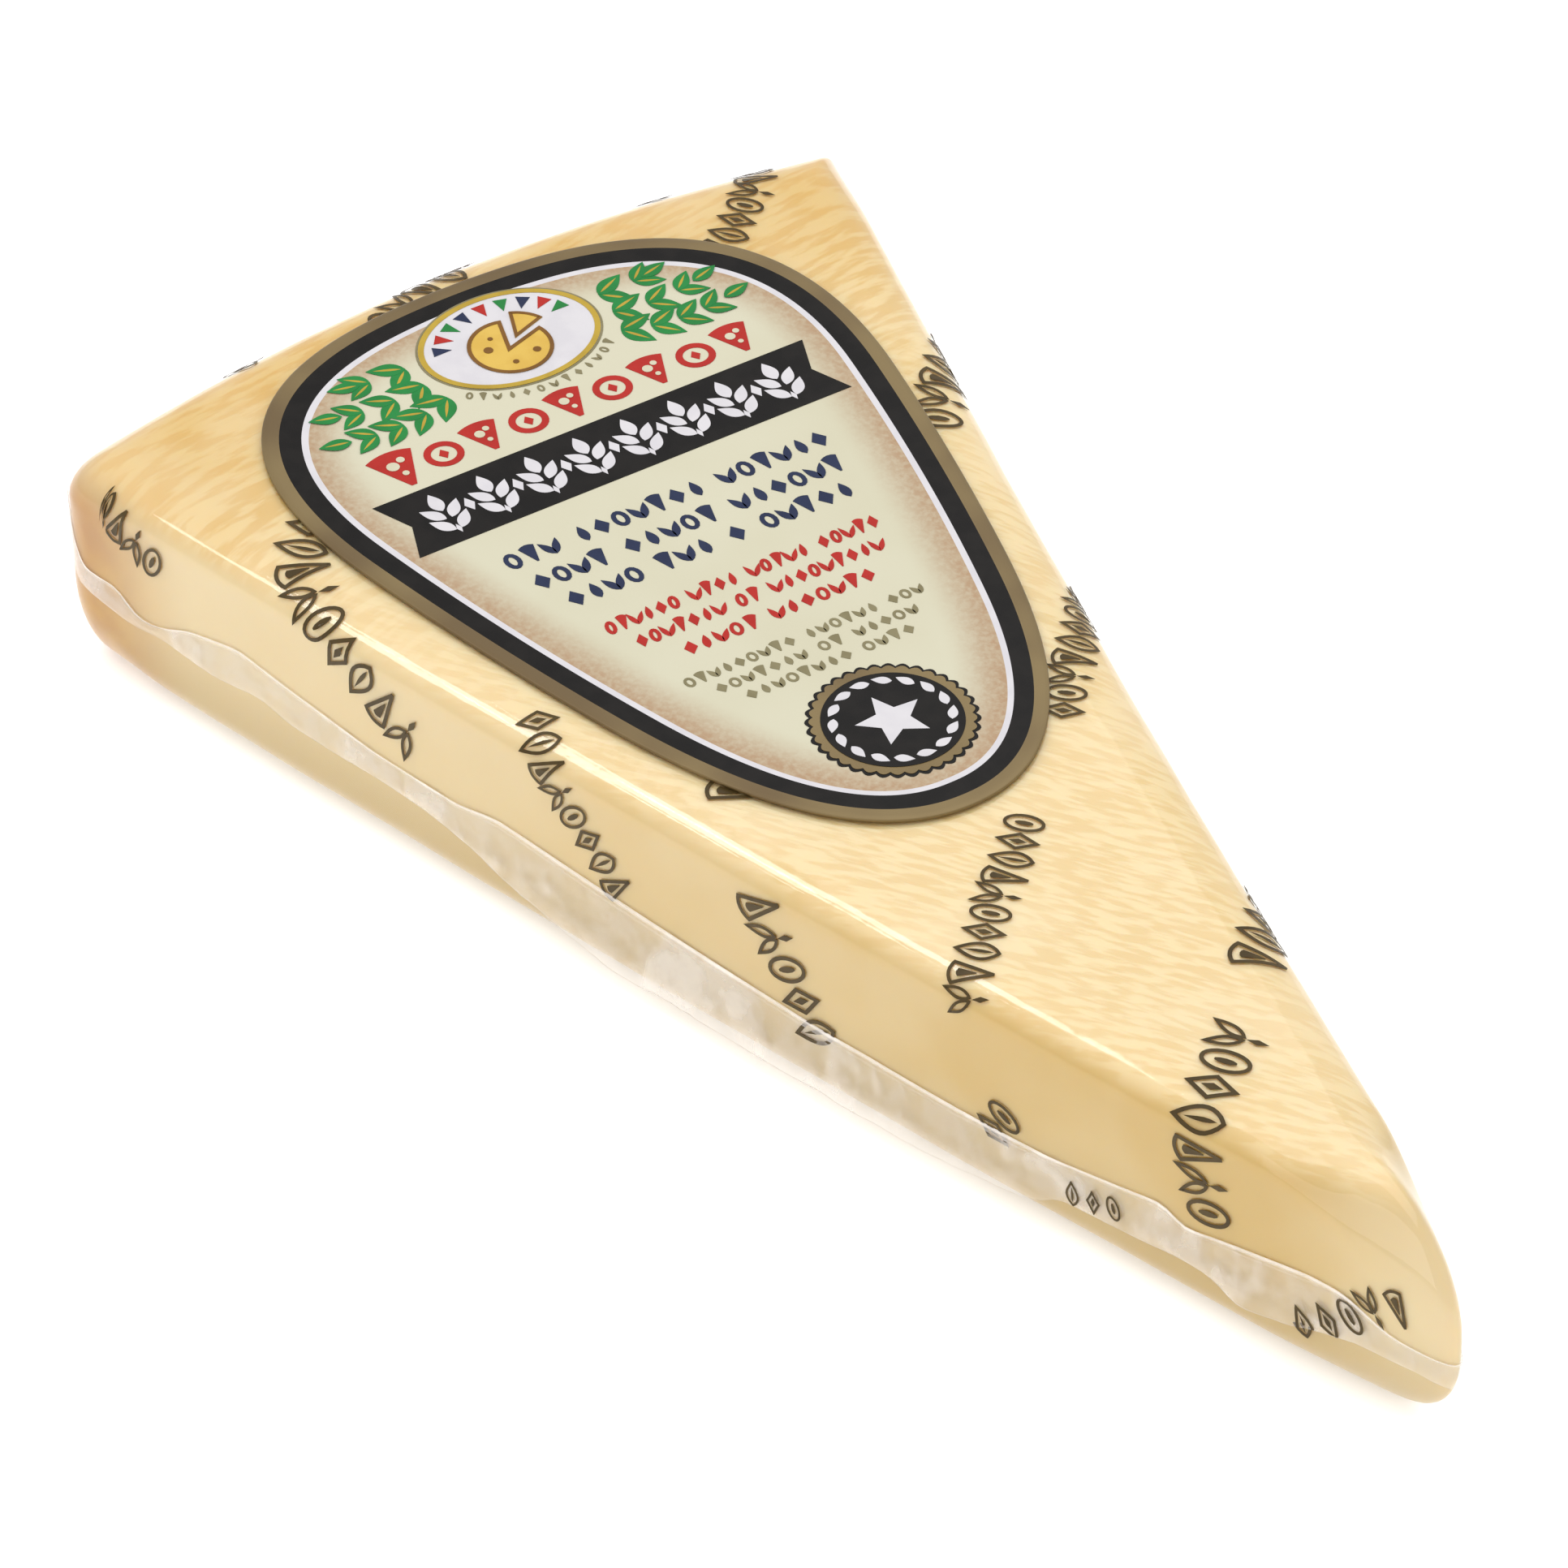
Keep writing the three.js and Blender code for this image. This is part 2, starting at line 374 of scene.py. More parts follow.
# %% Heights of the seal's fold and of its free edge
# On the front, as (distance along the wall from the rind's corner, height).
FRONT_FOLD = [(-9, 13), (-6, 19), (-3.5, 19.2), (-2.4, 14.8), (-0.9, 12.2), (1, 11.8), (4, 12), (6, 10.1),
              (8, 9.7), (10.5, 10.4), (14, 12.1), (21, 13.6), (28, 12.4), (39, 10.8), (50, 10.5),
              (55, 11.5), (61, 11), (74, 10), (96, 8.7), (112, 8.6), (123, 8.9), (130, 10), (136, 11),
              (138, 9.4), (143, 10.5), (152, 12), (156, 12), (161, 10), (168, 9.2)]
FRONT_EDGE = [(-9, 8), (-5, 12), (-3, 12), (-2, 9.8), (1, 8.9), (5, 8.4), (10.5, 8.9), (17, 8.2), (24, 9.2),
              (28, 7.9), (45, 7.5), (55, 5.2), (61, 3.7), (69, 1.7), (85, 1.5), (101, 1.5), (113, 1.7),
              (122, 2.9), (124, 4.5), (129, 4.8), (135, 5.4), (141, 5.4), (145, 4.2), (149, 4.8),
              (153, 6.1), (158, 7.1), (164, 7.2), (168, 6.2)]
SEAL_HEIGHT = 10.6
SEAL_WAVE = 0.9
SEAL_WIDTH = 3.8

steps_along = np.linalg.norm(np.diff(wall, axis=0, append=wall[:1]), axis=1)
along_wall = np.concatenate([[0], np.cumsum(steps_along)[:-1]])
wall_length = steps_along.sum()
turn = 2 * np.pi * along_wall / wall_length
from_rind = np.where(along_wall > 0.75 * wall_length, along_wall - wall_length, along_wall)
tip_column = SIDE_STEPS[0] + CORNER_STEPS
tip_end = along_wall[tip_column]
on_front = smoothstep(from_rind, -11, -7) * (1 - smoothstep(from_rind, tip_end - 3, tip_end + 4))


def seal_height(heights, elsewhere):
    distances, zs = np.array(heights, float).T
    front = np.interp(from_rind, distances, zs)
    window = np.hanning(5)
    front = np.convolve(np.pad(front, 2, mode="wrap"), window / window.sum(), mode="valid")
    return elsewhere + (front - elsewhere) * on_front


plain_fold = SEAL_HEIGHT + SEAL_WAVE * np.sin(7 * turn) * np.cos(3 * turn)
fold = seal_height(FRONT_FOLD, plain_fold)
free_edge = seal_height(FRONT_EDGE, plain_fold - SEAL_WIDTH - 0.7 * np.sin(11 * turn))
print("fold between", fold.min().round(1), "and", fold.max().round(1), "mm up")


# %% Model the film
def pleats(points):
    """How far the film stands out above the seal, where it is gathered."""
    nearest = np.argmin(
        np.linalg.norm(points[:, None, :2] - wall[None, ::4], axis=2), axis=1) * 4
    above = points[:, 2] - fold[nearest]
    fade = np.where(above > 0, np.exp(-above / 2.2), 0.0)
    stripes = np.array([noise.noise(Vector((along_wall[i] / 1.6, z / 9.0, 3.0)))
                        for i, z in zip(nearest, points[:, 2])])
    return 0.30 * fade * np.maximum(stripes, 0)


film = roll_grid("film", wedge_rings())
make_wavy(film)
film_points = points_of(film)
walls_only = (film_points[:, 2] > 5) & (film_points[:, 2] < HEIGHT - 3)
film_points[walls_only] += (normals_of(film)[walls_only]
                            * pleats(film_points[walls_only])[:, None])
lay(film, film_points)

# %% [markdown]
# ## The folded seal
#
# All round the wedge a band of doubled film hangs from the seal and lies against the wall. It
# leaves the wall with a tight roll, which catches the light, and then lies almost flush. Where
# it hangs past the edge of the underside it is looser and stands off further. It is crumpled
# along its length. A strip is rolled round the wall in the same way as the film, and Solidify
# gives it its two walls, the inner one with a finish of its own.

# %% Model the seal
outward = np.array([
    side_normal(wall[i - 1], wall[(i + 1) % len(wall)]) for i in range(len(wall))
])
SEAL_SHARES = np.concatenate([np.linspace(0, 0.16, 9), np.linspace(0.2, 1, 17)])
ROLL_STAND, ROLL_SHARE = 0.14, 0.14
FLUSH, LOOSENS, HANGS_OFF = 0.10, 0.10, 0.55
LEAST_STAND = 0.08
FILM_THICKNESS = 0.04
hangs_lower = smoothstep(fold - free_edge, 4.5, 7.5) * on_front
at_tip = smoothstep(from_rind, tip_end - 14, tip_end - 5) * on_front
at_corner = smoothstep(from_rind, -14, -7) * (1 - smoothstep(from_rind, 1, 6))
pressed = 1 - 0.5 * at_tip - 0.6 * at_corner


def crumpled(distance, share):
    broad = noise.noise(Vector((distance / 4.6, share * 1.5, 7.0)))
    fine = noise.noise(Vector((distance / 1.6 + share * 1.4, share * 3.2, 1.0)))
    return 0.16 * broad + 0.07 * fine


def seal_ring(share):
    """The points of the band at a share of its width, 0 at the fold and 1 at its free edge."""
    height = fold + (free_edge - fold) * share
    roll = ROLL_STAND * math.sin(math.pi * min(share / ROLL_SHARE, 1.0)) ** 0.7
    lying = FLUSH + LOOSENS * smoothstep(share, 0.1, 0.5)
    lying = lying + HANGS_OFF * hangs_lower * smoothstep(share, 0.2, 1.0)
    crumple = np.array([crumpled(s, share) for s in along_wall])
    stand = lying + roll + crumple * smoothstep(share, 0.06, 0.4) * (0.6 + 1.3 * hangs_lower)
    stand = np.maximum(stand, LEAST_STAND) * pressed
    surface = waviness(ring(wall, height))
    return ring(wall + outward * (stand + surface)[:, None], height)


seal = roll_grid("seal", np.array([seal_ring(s) for s in SEAL_SHARES[::-1]]))
for _ in range(2):
    seal.data.materials.append(None)
solid = seal.modifiers.new("film", "SOLIDIFY")
solid.thickness = FILM_THICKNESS * MM
solid.offset = -1
solid.material_offset = 1
select_only(seal)
bpy.ops.object.modifier_apply(modifier=solid.name)

# %% [markdown]
# ## Shapes for print
#
# Print is modelled as thin plates of ink. A circle is added with one corner for each point of
# an outline and laid on it; inset cuts an outline stroke out of it, and extrude gives it its
# thickness. Each motif is modelled once, and copies with their own meshes go where they are
# printed.

# %% Plates and strokes of ink
INK = 0.04


def thicken(piece):
    select_only(piece)
    bpy.ops.object.mode_set(mode="EDIT")
    bpy.ops.mesh.select_all(action="SELECT")
    bpy.ops.mesh.extrude_region_move(TRANSFORM_OT_translate={"value": (0, 0, INK * MM)})
    bpy.ops.mesh.select_all(action="SELECT")
    bpy.ops.mesh.normals_make_consistent(inside=False)
    bpy.ops.object.mode_set(mode="OBJECT")
    return piece


def plate(name, outline, stroke=0.0):
    """A filled shape, or only a stroke along its edge, with its outline given in mm."""
    select_only()
    bpy.ops.mesh.primitive_circle_add(vertices=len(outline), fill_type="NGON")
    piece = new_piece(name)
    flat = np.column_stack([outline, np.zeros(len(outline))])
    piece.data.vertices.foreach_set("co", (flat * MM).ravel())
    if stroke:
        bpy.ops.object.mode_set(mode="EDIT")
        bpy.ops.mesh.select_all(action="SELECT")
        bpy.ops.mesh.inset(thickness=stroke * MM, use_even_offset=True)
        bpy.ops.mesh.delete(type="FACE")
        bpy.ops.object.mode_set(mode="OBJECT")
    return thicken(piece)


def join(name, pieces):
    select_only(pieces[0])
    for piece in pieces:
        piece.select_set(True)
    bpy.ops.object.join()
    return new_piece(name)


def placed_copy(piece, place):
    """A copy with its own mesh, whose points are sent from the flat drawing by place()."""
    copy = piece.copy()
    copy.data = piece.data.copy()
    bpy.context.scene.collection.objects.link(copy)
    flat = np.zeros(len(copy.data.vertices) * 3)
    copy.data.vertices.foreach_get("co", flat)
    lay(copy, place(flat.reshape(-1, 3) / MM))
    return copy


def remove(pieces):
    for piece in pieces:
        bpy.data.objects.remove(piece)


# %% [markdown]
# ## Outlines of the motifs
#
# A wheel of cheese, a slice of it, a leaf and a lozenge are all the pictures that the pack
# needs. Each is a short formula or a few corners.

# %% Circles, leaves, slices and lozenges
def oval(radius_x, radius_y=None, points=40, centre=(0, 0)):
    angles = np.linspace(0, 2 * np.pi, points, endpoint=False)
    return np.column_stack([
        centre[0] + radius_x * np.cos(angles),
        centre[1] + (radius_y or radius_x) * np.sin(angles),
    ])


def leaf(length, width, points=12):
    """A pointed oval that grows from the origin along +x."""
    t = np.linspace(0, 1, points)
    half = width / 2 * np.sin(np.pi * t ** 0.8)
    lower = np.column_stack([t * length, -half])
    upper = np.column_stack([t * length, half])[-2:0:-1]
    return np.vstack([lower, upper])


def slice_shape(length, width, points=9):
    """A slice of cheese on its side: a point on the left and a bowed rind on the right."""
    t = np.linspace(-1, 1, points)
    rind = np.column_stack([length * (0.5 + 0.12 * (1 - t * t)), width / 2 * t])
    return np.vstack([[-length / 2, -width * 0.06], rind, [-length / 2, width * 0.06]])


def lozenge(width, height):
    return np.array([[0, -height / 2], [width / 2, 0], [0, height / 2], [-width / 2, 0]])


def dense(outline, step=0.7):
    """The same outline with points no further than a step apart, so that it can follow a curve."""
    points = []
    for start, end in zip(outline, np.roll(outline, -1, axis=0)):
        count = max(math.ceil(np.linalg.norm(end - start) / step), 1)
        points += [start + (end - start) * k / count for k in range(count)]
    return np.array(points)


def turned(outline, degrees, shift=(0, 0)):
    c, s = math.cos(math.radians(degrees)), math.sin(math.radians(degrees))
    return outline @ np.array([[c, s], [-s, c]]) + np.array(shift)


# %% [markdown]
# ## Print on the film
#
# Rows of narrow outlined motifs in dark brown run slantwise all over the film. They were printed
# on it flat, so a row bends over the edge of the top and goes on down the wall. A place on the
# film is therefore given in an unfolded plan: on the flat top it is simply x and y, and a place
# that lies off the flat top goes that far down over the rounding and the wall.

# %% Find a place on the film
PRINT_LIFT = 0.08
film_surface = BVHTree.FromObject(film, bpy.context.evaluated_depsgraph_get())


def nearest_on(loop, point):
    starts, ends = loop, np.roll(loop, -1, axis=0)
    along = ends - starts
    share = ((point - starts) * along).sum(1) / (along * along).sum(1)
    places = starts + along * np.clip(share, 0, 1)[:, None]
    nearest = int(np.argmin(np.linalg.norm(point - places, axis=1)))
    away = point - places[nearest]
    outside = along[nearest, 1] * away[0] - along[nearest, 0] * away[1] > 0
    return places[nearest], nearest, outside


def folded_down(point):
    """Where a place of the unfolded plan comes to lie, before the film's own waves."""
    edge, _, outside = nearest_on(top_flat, point)
    if not outside:
        return np.array([*point, HEIGHT])
    foot, i, _ = nearest_on(wall, edge)
    inset = np.linalg.norm(foot - edge)
    angles = np.radians(np.linspace(0, 90, 25))
    profile = np.column_stack([inset * np.sin(angles), top_drop[i] * (1 - np.cos(angles))])
    lengths = np.concatenate([[0], np.cumsum(np.linalg.norm(np.diff(profile, axis=0), axis=1))])
    down = np.linalg.norm(point - edge)
    out, dropped = (np.interp(down, lengths, profile[:, axis]) for axis in (0, 1))
    below = max(down - lengths[-1], 0)
    return np.array([*(edge + (foot - edge) / inset * out), HEIGHT - dropped - below])


def on_film(x, y, lift):
    guess = (folded_down(np.array([x, y])) + ORIGIN) * MM
    place, normal, _, _ = film_surface.find_nearest(Vector(guess))
    return np.array(place + normal * lift * MM) / MM - ORIGIN


# %% Model the film's motifs once
STROKE = 0.36


def film_motifs():
    """Motifs about 2.6 mm wide and 5 mm high: a wheel on edge, an ear, a slice and so on."""
    wheel = join("wheel", [
        plate("rim", oval(1.3, 2.2, 24), STROKE),
        plate("eye", oval(0.3, 1.0, 10)),
    ])
    blade = join("blade", [
        plate("blade", turned(leaf(5.0, 2.5, 11), 90, (0, -2.5)), STROKE),
        plate("vein", turned(leaf(3.0, 0.4, 6), 90, (0, -1.7))),
    ])
    wedge_picture = join("slice", [
        plate("rind", dense(turned(slice_shape(4.4, 2.7, 7), 90, (0, -0.3))), STROKE),
        plate("inside", dense(turned(slice_shape(1.9, 0.9, 5), 90, (0, 0.3)))),
    ])
    ear = join("ear", [
        plate("left", turned(leaf(3.6, 1.2, 9), 112, (-0.1, -0.6)), 0.3),
        plate("right", turned(leaf(3.6, 1.2, 9), 68, (0.1, -0.6)), 0.3),
        plate("stalk", dense(lozenge(0.6, 1.9) + np.array([0, -1.6]))),
    ])
    diamond = join("diamond", [
        plate("outer", dense(lozenge(2.6, 4.8)), STROKE),
        plate("middle", dense(lozenge(0.7, 1.9))),
    ])
    return [wheel, ear, wedge_picture, blade, diamond]


motifs = film_motifs()
print("motifs:", [m.name for m in motifs])

# %% Lay the rows over the wedge
# Each row is a path on the unfolded plan, a size and the number of the motif that it starts
# with. A size is the motifs' scale and their pitch: small rows have motifs about 4.4 mm high,
# 2.6 mm apart, and tall rows have them about 5.5 mm high, 3.4 mm apart.
SMALL = (0.92, 2.6)
TALL = (1.14, 3.4)
FILM_ROWS = [
    ([(16.5, -47.8), (5.4, -45.6), (3.2, -44.2)], SMALL, 0),
    ([(50.7, -42.9), (27.7, -35.2), (23.0, -29.5)], TALL, 1),
    ([(77.5, -40.0), (59.5, -28.5)], SMALL, 2),
    ([(102.6, -38.0), (90.4, -26.0)], TALL, 3),
    ([(81.6, -21.6), (74.0, -13.5)], TALL, 2),
    ([(115.4, -19.7), (97.9, 1.0)], SMALL, 1),
    ([(121.7, -32.0), (123.0, -26.0)], SMALL, 4),
    ([(145.4, -21.4), (137.6, -7.7), (132.2, 0.8)], TALL, 0),
    ([(89.4, 10.8), (75.9, 23.9), (70.5, 31.0)], SMALL, 4),
    ([(127.6, 4.4), (117.0, 16.5), (106.0, 28.5)], TALL, 2),
    ([(46.8, 27.0), (36.0, 36.8), (26.5, 48.5)], TALL, 0),
    ([(12.8, 23.0), (3.5, 35.6), (-4.5, 40.0)], SMALL, 1),
    ([(4.0, -12.5), (-2.6, 1.5), (-12.0, 9.0)], TALL, 4),
    ([(-1.5, 26.0), (-16.0, 34.0)], SMALL, 3),
    ([(-1.5, -24.0), (-17.0, -14.0)], SMALL, 0),
    ([(100.0, 33.5), (88.0, 45.5)], SMALL, 2),
    ([(151.0, 14.0), (141.5, 25.5)], SMALL, 0),
    ([(66.5, 45.5), (54.5, 55.5)], TALL, 3),
    ([(24.0, 54.5), (13.5, 61.0)], SMALL, 4),
]


def along_path(path, pitch):
    """Evenly spaced places on a path, each with its direction."""
    path = np.array(path, float)
    legs = np.diff(path, axis=0)
    ends = np.concatenate([[0], np.cumsum(np.linalg.norm(legs, axis=1))])
    count = int(ends[-1] / pitch)
    for k in range(count):
        run = (k + 0.5) * pitch
        leg = min(int(np.searchsorted(ends, run)) - 1, len(legs) - 1)
        way = legs[leg] / np.linalg.norm(legs[leg])
        yield path[leg] + way * (run - ends[leg]), way


def lay_rows(rows, on_surface):
    """Motifs along each row's path, at the places that on_surface gives for the path's measures."""
    placed = []
    for path, (size, pitch), first in rows:
        for number, (middle, way) in enumerate(along_path(path, pitch)):
            up = np.array([-way[1], way[0]])

            def place(points, middle=middle, way=way, up=up, size=size):
                flat = middle + size * (points[:, :1] * way + points[:, 1:2] * up)
                return np.array([on_surface(x, y, PRINT_LIFT + z)
                                 for (x, y), z in zip(flat, points[:, 2])])

            placed.append(placed_copy(motifs[(first + number) % len(motifs)], place))
    return placed


film_print = lay_rows(FILM_ROWS, on_film)
print(len(film_print), "motifs on the film")

# %% [markdown]
# A few rows run over the folded seal. Their paths are given as distances along the wall and
# heights, and each point is found by looking at the wall from outside.

# %% Lay the rows on the seal
SEAL_ROWS = [
    ([(124.3, 6.0), (128.0, 6.5), (132.4, 7.8)], (0.6, 2.4), 3),
    ([(150.0, 5.4), (153.4, 7.2), (156.8, 10.0), (159.8, 12.6), (163.4, 14.4)], (0.85, 3.2), 3),
]
LOOK_FROM = 8.0
seal_surface = BVHTree.FromObject(seal, bpy.context.evaluated_depsgraph_get())


def on_seal(distance, height, lift):
    stand, flat = (np.array([np.interp(distance, along_wall[:tip_column], loop[:tip_column, axis])
                             for axis in (0, 1)]) for loop in (wall, top_flat))
    way_in = (flat - stand) / np.linalg.norm(flat - stand)
    start = Vector((ring([stand - way_in * LOOK_FROM], height)[0] + ORIGIN) * MM)
    look = Vector((*way_in, 0))
    hits = [tree.ray_cast(start, look) for tree in (seal_surface, film_surface)]
    place, normal, _, _ = min((hit for hit in hits if hit[0]), key=lambda hit: hit[3])
    return np.array(place + normal * lift * MM) / MM - ORIGIN


seal_print = lay_rows(SEAL_ROWS, on_seal)
print(len(seal_print), "motifs on the seal")
ink = join("film_print", film_print + seal_print)
remove(motifs)
print("film print:", len(ink.data.vertices), "vertices")

# %% [markdown]
# ## The label
#
# The label is a sheet of paper with four bands one inside the other: bronze, black, a thin
# white line and cream. Nested outlines are rolled into one closed plate, so the bands meet
# without a gap, and faces take their band's material by how far in they lie.

# %% Model the label's plate
BRONZE_INSIDE = 0.2
BLACK_INSIDE = 2.25
WHITE_INSIDE = 2.9
LABEL_UNDER = HEIGHT + 0.16
LABEL_FACE = LABEL_TOP - 0.12
MIDDLE_STEPS = 8

outer = label_edge
label_middle = outer.mean(axis=0)
inner_insets = [-LABEL_BORDER + 0.12, -0.7, BRONZE_INSIDE, 1.1, BLACK_INSIDE, WHITE_INSIDE,
                3.7, 4.5, 5.5, 6.7, 8.0]
cream_middle = label_loop(inner_insets[-1])
label_rings = [ring(label_middle + (outer - label_middle) * s, LABEL_UNDER) for s in (0, 0.5)]
label_rings += [ring(outer, LABEL_UNDER), ring(outer, LABEL_FACE - 0.06)]
label_rings += [ring(label_loop(inset), LABEL_FACE) for inset in inner_insets]
label_rings += [ring(label_middle + (cream_middle - label_middle) * s, LABEL_FACE)
                for s in np.linspace(1, 0, MIDDLE_STEPS + 1)[1:]]
label = roll_grid("label_sheet", np.array(label_rings))

# %% [markdown]
# Each vertex also keeps how far it lies inside the label's bronze border, as an attribute, and
# the cream's tan vignette follows it.

# %% Mark the bands and the distance inwards
label_points = points_of(label)
inwards = distance_to_loop(label_points[:, :2], outer) - LABEL_BORDER
stored = label.data.attributes.new("inwards", "FLOAT", "POINT")
stored.data.foreach_set("value", inwards.astype(np.float32))

BAND_ENDS = [BRONZE_INSIDE, BLACK_INSIDE, WHITE_INSIDE]
FIRST_FACE_ROW = 4
row_insets = np.array(inner_insets + [math.inf] * MIDDLE_STEPS)
rows = len(label_rings) - 1
unrolled = label.data.uv_layers[0].uv
for face in label.data.polygons:
    row = np.mean([unrolled[loop].vector.y for loop in face.loop_indices]) * rows
    inset = row_insets[int(row) - FIRST_FACE_ROW] if row > FIRST_FACE_ROW else -LABEL_BORDER
    face.material_index = int(np.searchsorted(BAND_ENDS, inset, "right"))
print("faces in each band:", np.bincount([f.material_index for f in label.data.polygons]))

# %% [markdown]
# ## Print on the label
#
# On the label, motifs are drawn as they are read: x along a row and y up. Up points back to the
# rind, so a drawing turns a quarter when it is laid on the label. Each layer of ink lies a
# twentieth of a millimetre above the one before it.

# %% Lay a drawing on the label
LAYER = 0.05
FIRST_LIFT = 0.01


def on_label(x, y, layer=0, degrees=0.0, scale=1.0):
    """Sends a flat drawing to the label, centred x from the rind and y from the label's axis."""
    def place(points):
        flat = turned(points[:, :2] * scale, degrees)
        plan = turned_on_label(x - flat[:, 1], y + flat[:, 0])
        return np.column_stack([plan, LABEL_FACE + FIRST_LIFT + layer * LAYER + points[:, 2]])
    return place


def print_on_label(drawing, place):
    copy = placed_copy(drawing, place)
    bpy.data.objects.remove(drawing)
    return copy


# %% [markdown]
# ### The banner
#
# A dark ribbon with swallow-tail ends crosses the label, with pale shapes along it.

# %% Model the banner and its pale shapes
BANNER_X = 31.7
BANNER_HALF_HEIGHT = 4.5
BANNER_HALF_WIDTH = 24.8
NOTCH = 1.8

banner_outline = np.array([
    [-BANNER_HALF_WIDTH, -BANNER_HALF_HEIGHT], [BANNER_HALF_WIDTH, -BANNER_HALF_HEIGHT],
    [BANNER_HALF_WIDTH - NOTCH, 0],
    [BANNER_HALF_WIDTH, BANNER_HALF_HEIGHT], [-BANNER_HALF_WIDTH, BANNER_HALF_HEIGHT],
    [-BANNER_HALF_WIDTH + NOTCH, 0],
])
banner = print_on_label(plate("label_banner", banner_outline), on_label(BANNER_X, 0))

ear = join("ear", [
    plate("top", turned(leaf(2.9, 1.5), 90, (0, 0.45))),
    *[plate("grain", turned(leaf(2.9, 1.3), angle, (side * 0.3, height)))
      for height in (-0.8, -2.7)
      for side, angle in ((1, 52), (-1, 128))],
    plate("stalk", lozenge(0.55, 1.4) + np.array([0, -2.65])),
])
bead = plate("bead", lozenge(1.15, 2.1))
EAR_COUNT = 8
EAR_PITCH = 5.5
banner_shapes = []
for k in range(EAR_COUNT):
    y = (k - (EAR_COUNT - 1) / 2) * EAR_PITCH
    banner_shapes.append(placed_copy(ear, on_label(BANNER_X, y, 1)))
    if k < EAR_COUNT - 1:
        banner_shapes.append(placed_copy(bead, on_label(BANNER_X, y + EAR_PITCH / 2, 1)))
banner_print = join("label_banner_print", banner_shapes)
remove([ear, bead])

# %% [markdown]
# ### Rows of small print
#
# From a step away small print is a texture, so each row is set from five little marks in turn:
# a ring, a pair of grains, a lozenge, a slice and a grain. They stand in groups, in the colour
# and at the height of the row.

# %% Model the rows of small print
Row = namedtuple("Row", "x half_width height groups")
NAVY_ROWS = [
    Row(41.5, 18.6, 2.45, (3, 7, 6)),
    Row(45.6, 17.8, 2.45, (4, 5, 6)),
    Row(49.5, 16.4, 2.45, (4, 3, 1, 5)),
]
RED_ROWS = [
    Row(55.1, 15.6, 2.0, (6, 4, 5, 5)),
    Row(58.3, 14.1, 2.0, (7, 2, 9)),
    Row(61.7, 10.9, 2.0, (5, 7)),
]
BRONZE_ROWS = [
    Row(66.0, 13.6, 1.45, (9, 6, 3)),
    Row(68.3, 11.5, 1.45, (7, 2, 5)),
    Row(70.6, 9.6, 1.45, (8, 4)),
]
MARK_ORDER = (0, 3, 1, 4, 2, 0, 1, 3, 2, 4, 1)
GROUP_GAP = 0.7


def print_marks(height, width):
    return [
        plate("ring", oval(width / 2, height / 2, 14), 0.2 * height),
        join("pair", [plate("grain", turned(leaf(height, width * 0.5, 7), 90 + lean, (0, -height / 2)))
                      for lean in (24, -24)]),
        plate("lozenge", lozenge(width, height)),
        plate("slice", turned(slice_shape(height, width, 5), 90)),
        plate("grain", turned(leaf(height, width * 0.62, 7), 90, (0, -height / 2))),
    ]


def small_print(name, rows, lean=0.0):
    placed = []
    for number, row in enumerate(rows):
        places = sum(row.groups) + GROUP_GAP * (len(row.groups) - 1)
        pitch = 2 * row.half_width / places
        marks = print_marks(row.height, pitch * 0.8)
        y, count = pitch / 2 - row.half_width, 0
        for group in row.groups:
            for _ in range(group):
                mark = marks[MARK_ORDER[(count + 4 * number) % len(MARK_ORDER)]]
                placed.append(placed_copy(mark, on_label(row.x, y, 0, lean)))
                y += pitch
                count += 1
            y += GROUP_GAP * pitch
        remove(marks)
    return join(name, placed)


navy_print = small_print("label_navy_rows", NAVY_ROWS)
red_print = small_print("label_red_rows", RED_ROWS, -14)
bronze_print = small_print("label_bronze_rows", BRONZE_ROWS)

# %% [markdown]
# ### The red row
#
# Above the banner stands a row of red wheels and slices of cheese, with the tallest first.

# %% Model the red row
RED_X = 23.6
RED_HALF_WIDTH = 19.4
slice_drawing = plate("slice", turned(slice_shape(4.2, 4.2), 90))
eyes_drawing = join("eyes", [
    plate("large", oval(0.55, 0.55, 14, (-0.35, 0.7))),
    plate("small", oval(0.36, 0.36, 12, (0.62, 1.2))),
    plate("low", oval(0.3, 0.3, 10, (0.15, -0.5))),
])
wheel_drawing = join("wheel", [
    plate("rim", oval(2.05, 1.95, 28), 0.72),
    plate("hub", lozenge(1.1, 1.5)),
])
RED_COUNT = 9
red_shapes, red_eyes = [], []
for k in range(RED_COUNT):
    y = (k / (RED_COUNT - 1) * 2 - 1) * RED_HALF_WIDTH
    size = 1.22 if k == 0 else 1.0
    drawing = wheel_drawing if k % 2 else slice_drawing
    red_shapes.append(placed_copy(drawing, on_label(RED_X, y, 0, 0, size)))
    if k % 2 == 0:
        red_eyes.append(placed_copy(eyes_drawing, on_label(RED_X, y, 1, 0, size)))
red_row = join("label_red_row", red_shapes)
red_eyes = join("label_slice_eyes", red_eyes)
remove([slice_drawing, wheel_drawing, eyes_drawing])

# %% [markdown]
# ### The medallion
#
# An oval with a gold rim frames a wheel of cheese with one slice drawn out of it, under a
# garland of small coloured pennants.

# %% Model the medallion
MEDALLION = (11.3, 0.4)
RADIUS_ACROSS, RADIUS_UP = 9.3, 7.1


def sector(radius, start, end, points=20, shift=(0, 0)):
    angles = np.radians(np.linspace(start, end, points))
    arc = np.column_stack([radius * np.cos(angles), radius * np.sin(angles)])
    return np.vstack([[0, 0], arc]) + np.array(shift)


